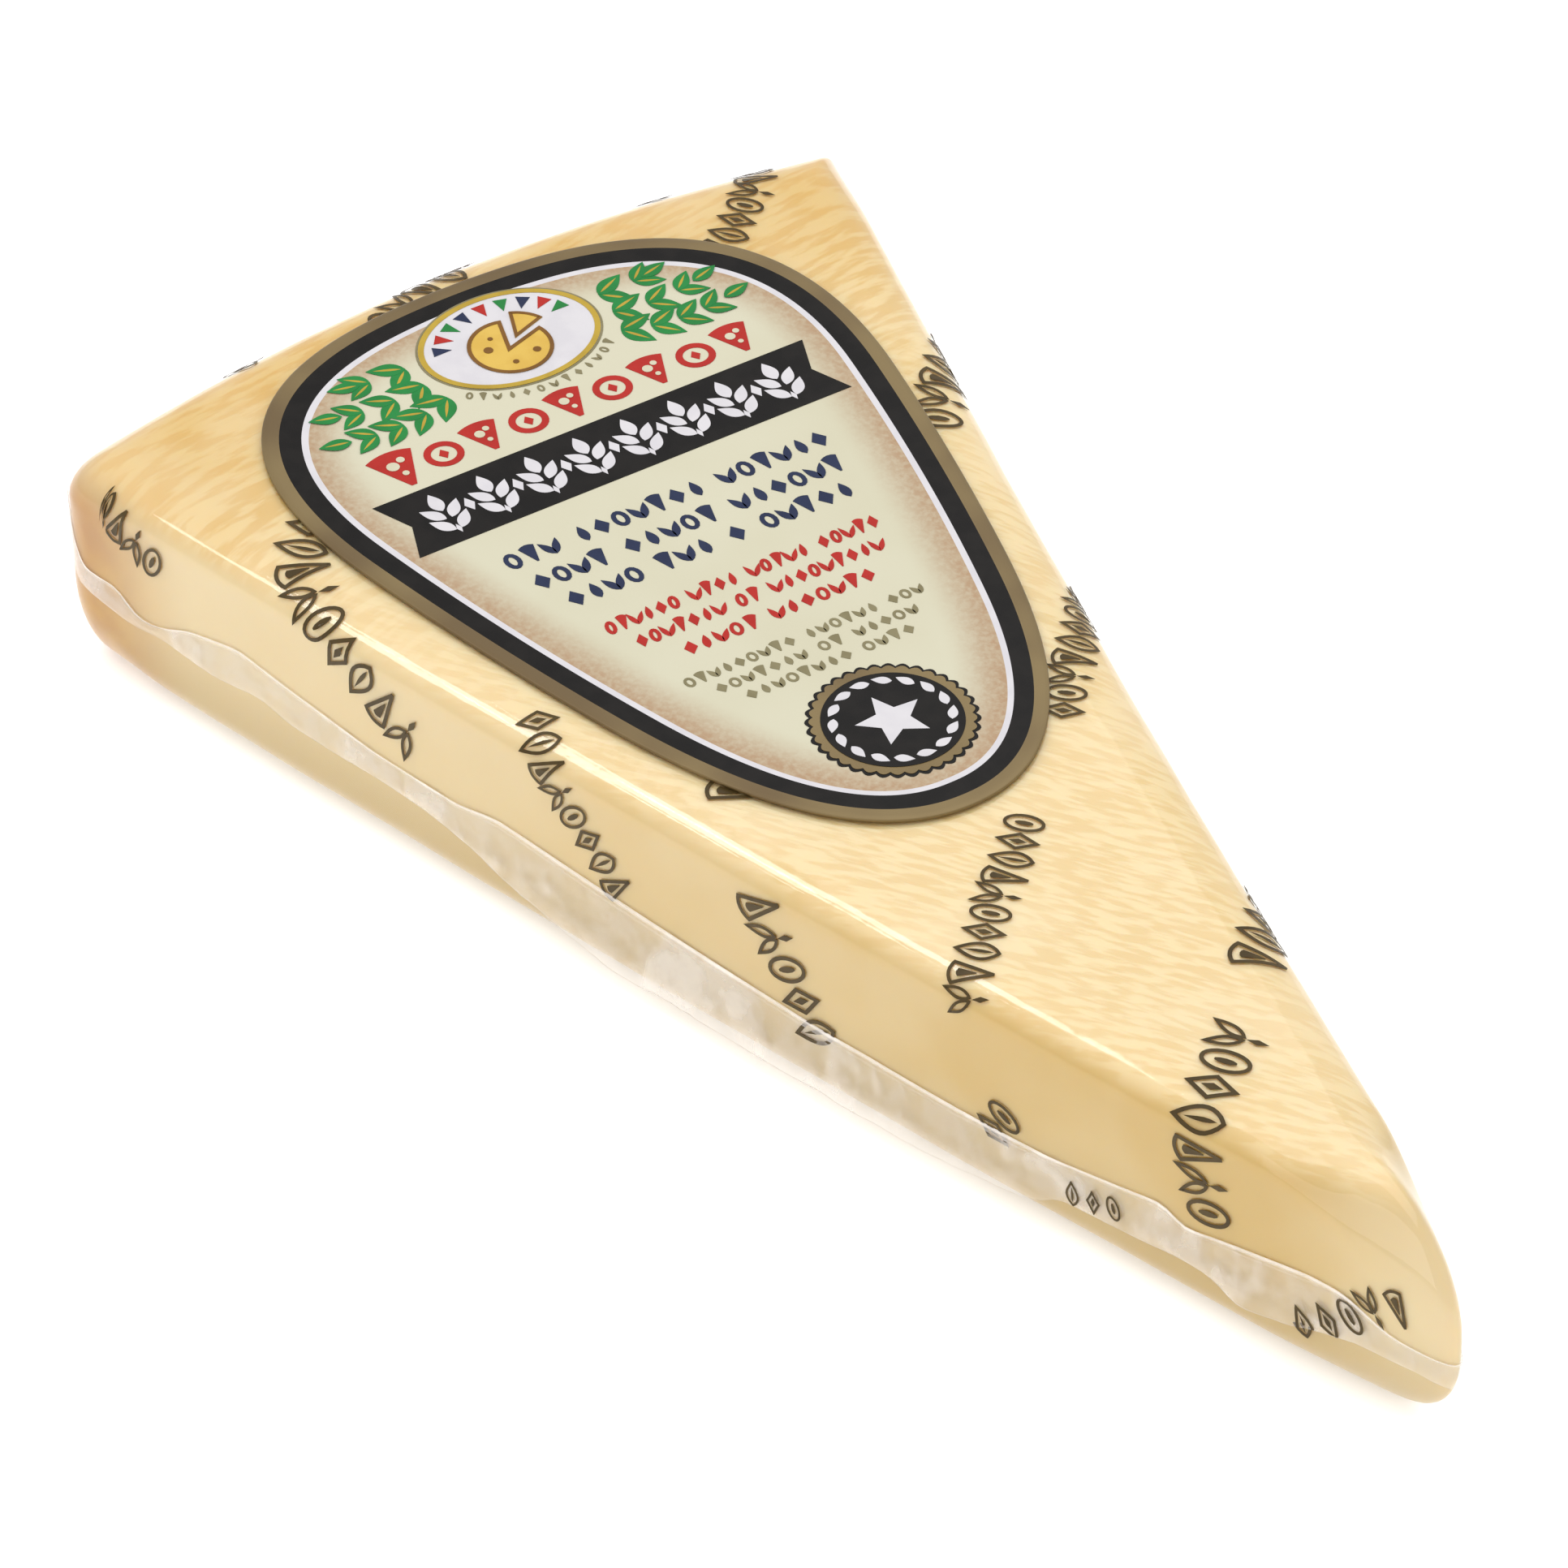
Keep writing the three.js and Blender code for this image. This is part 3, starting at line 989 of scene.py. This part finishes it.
WHEEL = (-0.6, -1.2)
SLICE = (0.5, -0.3)
medal_white = print_on_label(plate("label_medallion", oval(RADIUS_ACROSS, RADIUS_UP, 64)),
                             on_label(*MEDALLION, 0))
gold_rim = print_on_label(plate("label_gold_rim", oval(RADIUS_ACROSS + 0.35, RADIUS_UP + 0.35, 72), 0.6),
                          on_label(*MEDALLION, 1))
rim_line = print_on_label(plate("label_rim_line", oval(RADIUS_ACROSS + 0.6, RADIUS_UP + 0.6, 72), 0.2),
                          on_label(*MEDALLION, 0))
wheel_face = print_on_label(join("label_wheel_face", [
    plate("wheel", sector(4.3, 72, 378, 40, WHEEL)),
    plate("slice", sector(4.3, 20, 68, 14, SLICE)),
]), on_label(*MEDALLION, 1))
wheel_rim = print_on_label(join("label_wheel_rim", [
    plate("rim", sector(4.35, 72, 378, 40, WHEEL), 0.42),
    plate("slice", sector(4.35, 20, 68, 14, SLICE), 0.36),
    *[plate("eye", oval(radius, radius, 12, centre)) for radius, centre in (
        (0.5, (-2.8, -0.6)), (0.32, (-1.4, -3.6)), (0.42, (1.4, -3.0)), (0.28, (-1.7, 0.9)))],
]), on_label(*MEDALLION, 2))

# %% [markdown]
# The pennants hang from an arc that follows the medallion's rim, and below the rim runs a
# curved row of tiny bronze marks.

# %% Model the garland
PENNANTS = 9
garlands = {"navy": [], "red": [], "green": []}
pennant = plate("pennant", np.array([[0, -1.5], [0.78, 0.5], [-0.78, 0.5]]))
for k in range(PENNANTS):
    angle = math.radians(160 - 140 * k / (PENNANTS - 1))
    across = (RADIUS_ACROSS - 1.7) * math.cos(angle)
    up = (RADIUS_UP - 1.35) * math.sin(angle)
    colour = list(garlands)[k % 3]
    place = on_label(MEDALLION[0] - up, MEDALLION[1] + across, 1, math.degrees(angle) - 90, 0.95)
    garlands[colour].append(placed_copy(pennant, place))
garlands = {colour: join("label_pennants_" + colour, shapes) for colour, shapes in garlands.items()}
remove([pennant])

ARC_MARKS = 13
marks = print_marks(1.1, 0.75)
arc_print = []
for k in range(ARC_MARKS):
    angle = math.radians(222 + 96 * k / (ARC_MARKS - 1))
    across, up = (RADIUS_ACROSS + 1.6) * math.cos(angle), (RADIUS_UP + 1.5) * math.sin(angle)
    place = on_label(MEDALLION[0] - up, MEDALLION[1] + across, 0, 0.7 * (math.degrees(angle) - 270))
    arc_print.append(placed_copy(marks[MARK_ORDER[k % len(MARK_ORDER)]], place))
arc_print = join("label_arc_print", arc_print)
remove(marks)

# %% [markdown]
# ### The sprigs
#
# Three leafy branches reach out from each side of the medallion, one above the other. Their
# leaves stand in pairs along a bent stem, each with a pale vein, and each branch ends in a leaf.

# %% Model the sprigs
Branch = namedtuple("Branch", "start control end pairs")
BRANCHES = [
    Branch((-9.6, -4.6), (-15.5, -7.3), (-21.6, -5.9), 4),
    Branch((-10.6, -1.6), (-15.5, -3.4), (-20.4, -1.9), 3),
    Branch((-11.0, 1.4), (-14.0, 0.9), (-16.4, 1.5), 2),
]
LEAF_SPREAD = 34
LEAF_STEP = 0.25
VEIN_STEP = 0.12
BRANCH_STEP = 0.08


def branch_leaves(branch):
    """The places of a branch's leaves, as (across, up, degrees, scale)."""
    start, control, end = (np.array(point) for point in branch[:3])
    leaves = []
    for t in np.linspace(0.04, 0.78, branch.pairs):
        point = quadratic(start, control, end, [t])[0]
        slope = (1 - t) * (control - start) + t * (end - control)
        heading = math.degrees(math.atan2(slope[1], slope[0]))
        leaves += [(*point, heading + turn, 1.0 - 0.2 * t) for turn in (LEAF_SPREAD, -LEAF_SPREAD)]
    tip_slope = end - control
    leaves.append((*end, math.degrees(math.atan2(tip_slope[1], tip_slope[0])), 0.85))
    return leaves


blade = plate("blade", leaf(4.0, 2.0, 12))
vein = plate("vein", turned(leaf(2.9, 0.34, 6), 0, (0.4, 0)))
blades, veins = [], []
for branch_number, branch in enumerate(BRANCHES):
    for side in (1, -1):
        for number, (across, up, degrees, size) in enumerate(branch_leaves(branch)):
            x, y = MEDALLION[0] - up, MEDALLION[1] + side * across
            way = degrees if side > 0 else 180 - degrees
            layer = number * LEAF_STEP + branch_number * BRANCH_STEP
            blades.append(placed_copy(blade, on_label(x, y, layer, way, size)))
            veins.append(placed_copy(vein, on_label(x, y, layer + VEIN_STEP, way, size)))
sprigs = join("label_sprigs", blades)
sprig_veins = join("label_sprig_veins", veins)
remove([blade, vein])

# %% [markdown]
# ### The stamp
#
# Near the label's narrow end sits a round stamp: a black disc with a scalloped rim, a bronze disc
# and a smaller black one on it, and on that a pale star in a ring of leaves.

# %% Model the stamp
STAMP = (81.0, 0.2)
STAMP_RADIUS = 8.35
SCALLOPS = 36


def scalloped(radius, depth, scallops):
    angles = np.linspace(0, 2 * np.pi, scallops * 6, endpoint=False)
    out = radius - depth + depth * np.abs(np.cos(angles * scallops / 2))
    return np.column_stack([out * np.cos(angles), out * np.sin(angles)])


def star(points, outer_radius, inner_radius):
    angles = np.linspace(0, 2 * np.pi, points * 2, endpoint=False) + np.pi / 2
    out = np.where(np.arange(points * 2) % 2 == 0, outer_radius, inner_radius)
    return np.column_stack([out * np.cos(angles), out * np.sin(angles)])


stamp_edge = print_on_label(plate("label_stamp_edge", scalloped(STAMP_RADIUS, 0.45, SCALLOPS)),
                            on_label(*STAMP, 0))
stamp_rim = print_on_label(plate("label_stamp_rim", scalloped(STAMP_RADIUS - 0.4, 0.4, SCALLOPS)),
                           on_label(*STAMP, 1))
stamp_disc = print_on_label(plate("label_stamp_disc", oval(STAMP_RADIUS - 1.5, points=72)),
                            on_label(*STAMP, 2))
STAMP_LEAVES = 16
ring_marks = [plate("star", star(5, 3.7, 1.7))]
for k in range(STAMP_LEAVES):
    angle = 360 / STAMP_LEAVES * k
    centre = turned(np.array([[5.5, -0.95]]), angle)[0]
    ring_marks.append(plate("mark", turned(leaf(2.0, 1.0, 10), angle + 75, centre)))
stamp_print = print_on_label(join("label_stamp_print", ring_marks), on_label(*STAMP, 3))

# %% [markdown]
# ## Effects that several finishes share
#
# Two node groups are used by more than one finish: soft blotches that vary a colour, and fine
# wrinkles for whatever is made of film or lies under it. They put out only masks and heights,
# and each finish feeds them into its own shader.

# %% Build the shared node groups
def new_group(name, outputs):
    """An empty node group that takes an amount and puts out these masks or heights."""
    group = bpy.data.node_groups.new(name, "ShaderNodeTree")
    group.interface.new_socket(name="Amount", in_out="INPUT", socket_type="NodeSocketFloat")
    for socket in outputs:
        group.interface.new_socket(name=socket, in_out="OUTPUT", socket_type="NodeSocketFloat")
    return group, group.nodes.new("NodeGroupInput"), group.nodes.new("NodeGroupOutput")


def add_noise(tree, vector, sizes, detail=3.0, turn_z=0.0):
    """Noise with blotches of these sizes along x, y and z, in mm, turned about z by degrees."""
    mapping = tree.nodes.new("ShaderNodeMapping")
    mapping.vector_type = "TEXTURE"
    mapping.inputs["Scale"].default_value = [size * MM for size in sizes]
    mapping.inputs["Rotation"].default_value = (0, 0, math.radians(turn_z))
    pattern = tree.nodes.new("ShaderNodeTexNoise")
    pattern.inputs["Scale"].default_value = 1.0
    pattern.inputs["Detail"].default_value = detail
    tree.links.new(vector, mapping.inputs["Vector"])
    tree.links.new(mapping.outputs["Vector"], pattern.inputs["Vector"])
    return pattern.outputs["Fac"]


def add_range(tree, value, low, high, to_low=0.0, to_high=1.0):
    node = tree.nodes.new("ShaderNodeMapRange")
    node.interpolation_type = "SMOOTHSTEP"
    for socket, number in (("From Min", low), ("From Max", high), ("To Min", to_low), ("To Max", to_high)):
        node.inputs[socket].default_value = number
    tree.links.new(value, node.inputs["Value"])
    return node.outputs["Result"]


def add_math(tree, operation, first, second):
    node = tree.nodes.new("ShaderNodeMath")
    node.operation = operation
    for socket, value in zip(node.inputs, (first, second)):
        if isinstance(value, (int, float)):
            socket.default_value = value
        else:
            tree.links.new(value, socket)
    return node.outputs["Value"]


def build_blotches():
    group, inputs, outputs = new_group("Blotches", ["Broad", "Fine"])
    place = group.nodes.new("ShaderNodeTexCoord").outputs["Object"]
    for name, size, detail in (("Broad", 16.0, 2.0), ("Fine", 3.0, 4.0)):
        mask = add_range(group, add_noise(group, place, (size, size, size), detail), 0.35, 0.65)
        amount = add_math(group, "MULTIPLY", mask, inputs.outputs["Amount"])
        group.links.new(amount, outputs.inputs[name])
    return group


def build_wrinkles():
    group, inputs, outputs = new_group("Film wrinkles", ["Height"])
    place = group.nodes.new("ShaderNodeTexCoord").outputs["Object"]
    slow = add_noise(group, place, (9.0, 9.0, 9.0), 2.0)
    quick = add_noise(group, place, (2.2, 2.2, 4.9), 3.0)
    both = add_math(group, "ADD", slow, add_math(group, "MULTIPLY", quick, 0.35))
    height = add_math(group, "MULTIPLY", both, inputs.outputs["Amount"])
    group.links.new(height, outputs.inputs["Height"])
    return group


blotches = build_blotches()
wrinkles = build_wrinkles()


# %% [markdown]
# ## Finishes
#
# A finish starts from one Principled shader. A value that is the same all over is set on the
# shader's own socket. Colours are given as they would be picked on a screen and turned into the
# linear values that the shader works in.

# %% Start a finish
def linear(hex_colour):
    channels = [int(hex_colour[i:i + 2], 16) / 255 for i in (1, 3, 5)]
    return (*[c / 12.92 if c <= 0.04045 else ((c + 0.055) / 1.055) ** 2.4 for c in channels], 1.0)


def new_finish(name, roughness, **values):
    material = bpy.data.materials.new(name)
    material.use_nodes = True
    shader = material.node_tree.nodes["Principled BSDF"]
    shader.inputs["Roughness"].default_value = roughness
    for socket, value in values.items():
        shader.inputs[socket.replace("_", " ")].default_value = value
    return material, material.node_tree, shader


def place_group(tree, group, amount):
    node = tree.nodes.new("ShaderNodeGroup")
    node.node_tree = group
    node.inputs["Amount"].default_value = amount
    return node


def add_mix(tree, mask, first, second):
    """A colour between two, each a picked colour or another node's output."""
    node = tree.nodes.new("ShaderNodeMix")
    node.data_type = "RGBA"
    tree.links.new(mask, node.inputs[0])
    for socket, value in ((node.inputs[6], first), (node.inputs[7], second)):
        if isinstance(value, str):
            socket.default_value = linear(value)
        else:
            tree.links.new(value, socket)
    return node.outputs[2]


def add_bump(tree, shader, height, distance, strength):
    bump = tree.nodes.new("ShaderNodeBump")
    bump.inputs["Strength"].default_value = strength
    bump.inputs["Distance"].default_value = distance * MM
    tree.links.new(height, bump.inputs["Height"])
    tree.links.new(bump.outputs["Normal"], shader.inputs["Normal"])


# %% [markdown]
# ### Cheese
#
# Hard cheese is a pale warm yellow that lets light in a few millimetres deep. Towards the rind,
# where it dried as it aged, its top is golden, and the rind itself is a mottled tan. On the top
# short fibres lie along the cut: across the wedge near the rind, and turned towards the tip
# further on. The cut faces are smooth, pale near the rind and warmer towards the tip, and the
# nose is pale again. The cut faces are given darker colours than the top as painted shade, and
# they darken further towards the foot, which is painted shade too.

# %% Finish the cheese
def add_fibres(tree, place, length, width, turn_z):
    """A mask of short fibres of this length and width, in mm, turned about z by degrees."""
    return add_range(tree, add_noise(tree, place, (length, width, 3.0), 4.0, turn_z), 0.41, 0.58)


def cheese_finish():
    material, tree, shader = new_finish("Cheese", 0.42, Subsurface_Weight=0.5,
                                        Subsurface_Scale=3.0 * MM, Specular_IOR_Level=0.25)
    shader.inputs["Subsurface Radius"].default_value = (1.0, 0.62, 0.30)
    place = tree.nodes.new("ShaderNodeTexCoord").outputs["Object"]
    marks = place_group(tree, blotches, 1.0)
    split = tree.nodes.new("ShaderNodeSeparateXYZ")
    tree.links.new(place, split.inputs[0])

    def along(start, end):
        """A mask that grows from 0 to 1 between two distances from the rind."""
        return add_range(tree, split.outputs["X"], (ORIGIN[0] + start) * MM, (ORIGIN[0] + end) * MM)

    on_top = add_range(tree, split.outputs["Z"], (HEIGHT - 2.5) * MM, (HEIGHT - 0.6) * MM)
    near_rind = add_fibres(tree, place, 5.0, 1.1, 96)
    further_on = add_fibres(tree, place, 3.6, 0.75, 32)
    fibres = add_mix(tree, along(22, 60), near_rind, further_on)

    golden = add_mix(tree, along(38, 2), "#DCC695", "#CEAE6A")
    dark_fibre = add_mix(tree, along(50, 0), "#D4B87F", "#C89F4E")
    top = add_mix(tree, fibres, dark_fibre, golden)
    faint = add_math(tree, "MULTIPLY", marks.outputs["Broad"], 0.3)
    top = add_mix(tree, faint, top, "#E1CEA8")
    # Painted shade: the walls' colours are darker than the top's, besides growing warmer towards the tip.
    wall_with_painted_shade = add_mix(tree, along(20, 130), "#CAB486", "#B99A55")
    wall_with_painted_shade = add_mix(tree, faint, wall_with_painted_shade, "#CBB990")
    wall_with_painted_shade = add_mix(tree, along(148, 166), wall_with_painted_shade, "#CDB98D")
    # Painted shade: the walls darken towards the foot, from 13 mm above the table down to 2 mm.
    low = add_range(tree, split.outputs["Z"], 13 * MM, 2 * MM, 0.0, 0.8)
    wall_with_painted_shade = add_mix(tree, low, wall_with_painted_shade, "#AE9663")
    colour = add_mix(tree, on_top, wall_with_painted_shade, top)
    below_top = add_range(tree, split.outputs["Z"], HEIGHT * MM, (HEIGHT - 5) * MM)
    rind = add_math(tree, "MULTIPLY", along(20, 3), below_top)
    crust = add_mix(tree, marks.outputs["Broad"], "#AF8022", "#A36E19")
    crust = add_mix(tree, add_math(tree, "MULTIPLY", marks.outputs["Fine"], 0.5), crust, "#9C6716")
    colour = add_mix(tree, rind, colour, crust)
    tree.links.new(colour, shader.inputs["Base Color"])
    relief = add_math(tree, "MULTIPLY", fibres, on_top)
    grain = add_math(tree, "MULTIPLY", marks.outputs["Fine"], 0.2)
    add_bump(tree, shader, add_math(tree, "ADD", relief, grain), distance=0.05, strength=0.6)
    return material


# %% [markdown]
# ### Film, seal and ink
#
# Clear film shows only by what it mirrors, which is little when seen square on and a lot at a
# slant. So its shader is a mirror whose alpha grows with the slant, and everything else passes
# through. The folded seal is the same film, doubled and full of air: its alpha has a milky share
# too, and how metallic it is says how much of it is the mirror's. The white is higher along the
# fold and on the crests of its creases, partly for the doubled film and partly as painted
# highlight.

# %% Finish the film, the seal and the ink
MIRRORS_SQUARE_ON = 0.05
MIRRORS_AT_A_SLANT = 0.92


def add_mirroring(tree):
    """How much a thin film mirrors at the slant it is met at, the same from both its sides."""
    slant = tree.nodes.new("ShaderNodeLayerWeight")
    slant.inputs["Blend"].default_value = 0.5
    steep = add_math(tree, "POWER", slant.outputs["Facing"], 5.0)
    return add_math(tree, "ADD", add_math(tree, "MULTIPLY", steep, MIRRORS_AT_A_SLANT), MIRRORS_SQUARE_ON)


def film_finish():
    material, tree, shader = new_finish("Clear film", 0.07, Metallic=1.0, Base_Color=linear("#FFFFFF"))
    tree.links.new(add_mirroring(tree), shader.inputs["Alpha"])
    creases = place_group(tree, wrinkles, 1.0)
    add_bump(tree, shader, creases.outputs["Height"], distance=0.08, strength=0.6)
    return material


def seal_finish():
    material, tree, shader = new_finish("Folded film", 0.2, Base_Color=linear("#F6EEE6"))
    marks = place_group(tree, blotches, 1.0)
    creases = place_group(tree, wrinkles, 1.0)
    split = tree.nodes.new("ShaderNodeSeparateXYZ")
    tree.links.new(tree.nodes.new("ShaderNodeTexCoord").outputs["UV"], split.inputs[0])
    # White along the fold: partly the doubled film, partly a painted highlight.
    fold_white_and_highlight = add_range(tree, split.outputs["Y"], 0.86, 0.97, 0.04, 0.45)
    mirror = add_math(tree, "MULTIPLY", add_mirroring(tree), 0.6)
    # White on the crests of the creases: partly milky film, partly painted highlight.
    crease_white_and_highlight = add_range(tree, creases.outputs["Height"], 0.66, 0.82, 0.0, 0.22)
    milk_and_painted_highlight = add_math(tree, "ADD", add_math(tree, "MULTIPLY", marks.outputs["Fine"], 0.12), fold_white_and_highlight)
    milk_and_painted_highlight = add_math(tree, "ADD", milk_and_painted_highlight, crease_white_and_highlight)
    alpha = add_math(tree, "ADD", mirror, milk_and_painted_highlight)
    tree.links.new(alpha, shader.inputs["Alpha"])
    tree.links.new(add_math(tree, "DIVIDE", mirror, alpha), shader.inputs["Metallic"])
    add_bump(tree, shader, creases.outputs["Height"], distance=0.16, strength=1.0)
    return material


def ink_finish(name, colour, darker, roughness=0.35):
    """A printed colour, a little uneven in tone."""
    material, tree, shader = new_finish(name, roughness, Specular_IOR_Level=0.15)
    marks = place_group(tree, blotches, 0.5)
    tree.links.new(add_mix(tree, marks.outputs["Fine"], colour, darker), shader.inputs["Base Color"])
    return material


# %% [markdown]
# ### Paper
#
# The label's paper is varnished. Its cream has a grainy tan vignette that fades inwards from
# the white line, and its bronze band has broad lighter and darker blotches as painted shimmer.

# %% Finish the label's bands
def cream_finish():
    material, tree, shader = new_finish("Cream paper", 0.34, Specular_IOR_Level=0.15)
    depth = tree.nodes.new("ShaderNodeAttribute")
    depth.attribute_name = "inwards"
    place = tree.nodes.new("ShaderNodeTexCoord").outputs["Object"]
    grain = add_noise(tree, place, (0.5, 0.5, 0.5), 2.0)
    edge = add_range(tree, depth.outputs["Fac"], 8.2, 2.6)
    grainy = add_math(tree, "MULTIPLY", edge, add_range(tree, grain, 0.2, 0.75, 0.65, 1.05))
    ghosts = place_group(tree, blotches, 0.35)
    colour = add_mix(tree, ghosts.outputs["Broad"], "#C2BEA7", "#B9B398")
    tree.links.new(add_mix(tree, grainy, colour, "#A3876A"), shader.inputs["Base Color"])
    return material


def bronze_finish():
    material, tree, shader = new_finish("Bronze print", 0.38, Metallic=0.3)
    # Painted shimmer: broad lighter and darker blotches of bronze.
    marks = place_group(tree, blotches, 0.9)
    tree.links.new(add_mix(tree, marks.outputs["Broad"], "#78653D", "#5D4927"), shader.inputs["Base Color"])
    return material


def black_finish():
    material, tree, shader = new_finish("Black print", 0.25, Specular_IOR_Level=0.1)
    marks = place_group(tree, blotches, 0.6)
    tree.links.new(add_mix(tree, marks.outputs["Fine"], "#12100F", "#1D1A18"), shader.inputs["Base Color"])
    creases = place_group(tree, wrinkles, 1.0)
    add_bump(tree, shader, creases.outputs["Height"], distance=0.06, strength=0.5)
    return material


CHEESE = cheese_finish()
FILM = film_finish()
FOLDED = seal_finish()
FILM_INK = ink_finish("Dark brown ink", "#3F3219", "#524326")
BRONZE = bronze_finish()
BLACK = black_finish()
WHITE = ink_finish("White print", "#C8C5C8", "#BDBABF", 0.3)
PALE = ink_finish("Pale cream print", "#C2BEA7", "#B9B398")
CREAM = cream_finish()
RED = ink_finish("Red print", "#A6221A", "#971D15")
NAVY = ink_finish("Navy print", "#1B2440", "#232D4B")
GREEN = ink_finish("Green print", "#1C7A38", "#15652C")
GOLD = ink_finish("Gold print", "#AF9334", "#957A27")
STRAW = ink_finish("Straw print", "#CBA950", "#BE973D")
BROWN = ink_finish("Brown print", "#754F1D", "#634114")
UMBER = ink_finish("Umber print", "#7E7658", "#6C6446")
print(len(bpy.data.materials), "finishes")


# %% [markdown]
# ## Dress the pieces
#
# Each piece gets its finish and rides on the frame's one body, and the CAD node that it stands
# for is hidden.

# %% Dress the pieces and tie them to the frame
def dress(piece, finishes, node):
    kept = [face.material_index for face in piece.data.polygons]
    piece.data.materials.clear()
    for finish in finishes:
        piece.data.materials.append(finish)
    piece.data.polygons.foreach_set("material_index", kept)
    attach(piece, "root")
    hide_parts(node)


dress(cheese, [CHEESE], "wrapped_wedge")
dress(film, [FILM], "wrapped_wedge")
dress(seal, [FOLDED, FILM], "wrapped_wedge")
dress(ink, [FILM_INK], "wrapped_wedge")

dress(label, [BRONZE, BLACK, WHITE, CREAM], "label")
for piece, finish in (
    (banner, BLACK), (banner_print, WHITE), (navy_print, NAVY), (red_print, RED),
    (bronze_print, UMBER), (red_row, RED), (red_eyes, PALE), (medal_white, WHITE), (gold_rim, GOLD),
    (wheel_face, STRAW), (wheel_rim, BROWN), (sprigs, GREEN), (sprig_veins, GOLD),
    (rim_line, UMBER), (arc_print, UMBER), (garlands["navy"], NAVY), (garlands["red"], RED),
    (garlands["green"], GREEN), (stamp_edge, BLACK), (stamp_rim, BRONZE), (stamp_disc, BLACK),
    (stamp_print, WHITE),
):
    dress(piece, [finish], "label")

# %% [markdown]
# ## The studio
#
# The floor is a plain pale light table, which glows a little and so takes no shadow. One large
# soft lamp hangs over the wedge, one fills the front, and a row of small ones draws the bright
# line along the top edge. The world adds an even light.

# %% Floor, lamps and world
FLOOR_GLOW = 0.25
FLOOR_SIZE = 6
FLOOR_DROP = 0.0005


def floor_finish():
    material, tree, shader = new_finish("Pale floor", 0.9)
    marks = place_group(tree, blotches, 0.2)
    colour = add_mix(tree, marks.outputs["Broad"], "#FFFFFF", "#FDFDFC")
    tree.links.new(colour, shader.inputs["Base Color"])
    tree.links.new(colour, shader.inputs["Emission Color"])
    shader.inputs["Emission Strength"].default_value = FLOOR_GLOW
    return material


select_only()
bpy.ops.mesh.primitive_plane_add(size=FLOOR_SIZE, location=(0, 0, -FLOOR_DROP))
floor = new_piece("floor")
bpy.ops.object.transform_apply(location=True)
floor.data.materials.append(floor_finish())


# Directions are in degrees, distances and sizes in metres, and power in watts.
Lamp = namedtuple("Lamp", "name azimuth elevation distance size power")
LAMPS = [
    Lamp("overhead", 200, 72, 1.0, 1.1, 3.8),
    Lamp("front fill", 20, 30, 1.1, 0.95, 2.6),
    Lamp("edge", 315, 49, 1.1, 0.16, 0.5),
    Lamp("edge", 308, 56, 1.1, 0.16, 0.5),
    Lamp("edge", 298, 62, 1.1, 0.16, 0.5),
]
WORLD_LIGHT = 0.95


def direction(azimuth, elevation):
    """From the wedge towards a compass direction and a height above the table, in degrees."""
    a, e = math.radians(azimuth), math.radians(elevation)
    return Vector((math.sin(a) * math.cos(e), -math.cos(a) * math.cos(e), math.sin(e)))


def add_lamp(lamp):
    """A soft square lamp that looks at the wedge."""
    back = direction(lamp.azimuth, lamp.elevation)
    bpy.ops.object.light_add(type="AREA", location=back * lamp.distance)
    added = bpy.context.object
    added.name = lamp.name
    added.rotation_euler = back.to_track_quat("Z", "Y").to_euler()
    added.data.size = lamp.size
    added.data.energy = lamp.power


for lamp in LAMPS:
    add_lamp(lamp)

world = bpy.data.worlds.new("studio")
world.use_nodes = True
world.node_tree.nodes["Background"].inputs["Color"].default_value = (1, 1, 1, 1)
world.node_tree.nodes["Background"].inputs["Strength"].default_value = WORLD_LIGHT
bpy.context.scene.world = world
bpy.context.scene.view_settings.view_transform = "Standard"

# %% [markdown]
# ## The camera
#
# The wedge is seen from its front corner, 41 degrees above the table, with a long lens from
# almost 0.8 m away, so its sides hardly converge.

# %% Camera
CAMERA_AZIMUTH = 55.133
CAMERA_ELEVATION = 40.724
CAMERA_DISTANCE = 782.3
CAMERA_TARGET = np.array([59.506, -0.125, 0.0])
FOCAL_PIXELS = 9863.4
FRAME_PIXELS = 1932
SENSOR = 36.0

back = direction(CAMERA_AZIMUTH, CAMERA_ELEVATION)
target = Vector((CAMERA_TARGET + ORIGIN) * MM)
bpy.ops.object.camera_add(location=target + back * CAMERA_DISTANCE * MM)
camera = bpy.context.object
camera.rotation_euler = back.to_track_quat("Z", "Y").to_euler()
camera.data.sensor_width = SENSOR
camera.data.lens = FOCAL_PIXELS / FRAME_PIXELS * SENSOR
bpy.context.scene.camera = camera
print("lens", round(camera.data.lens, 1), "mm")
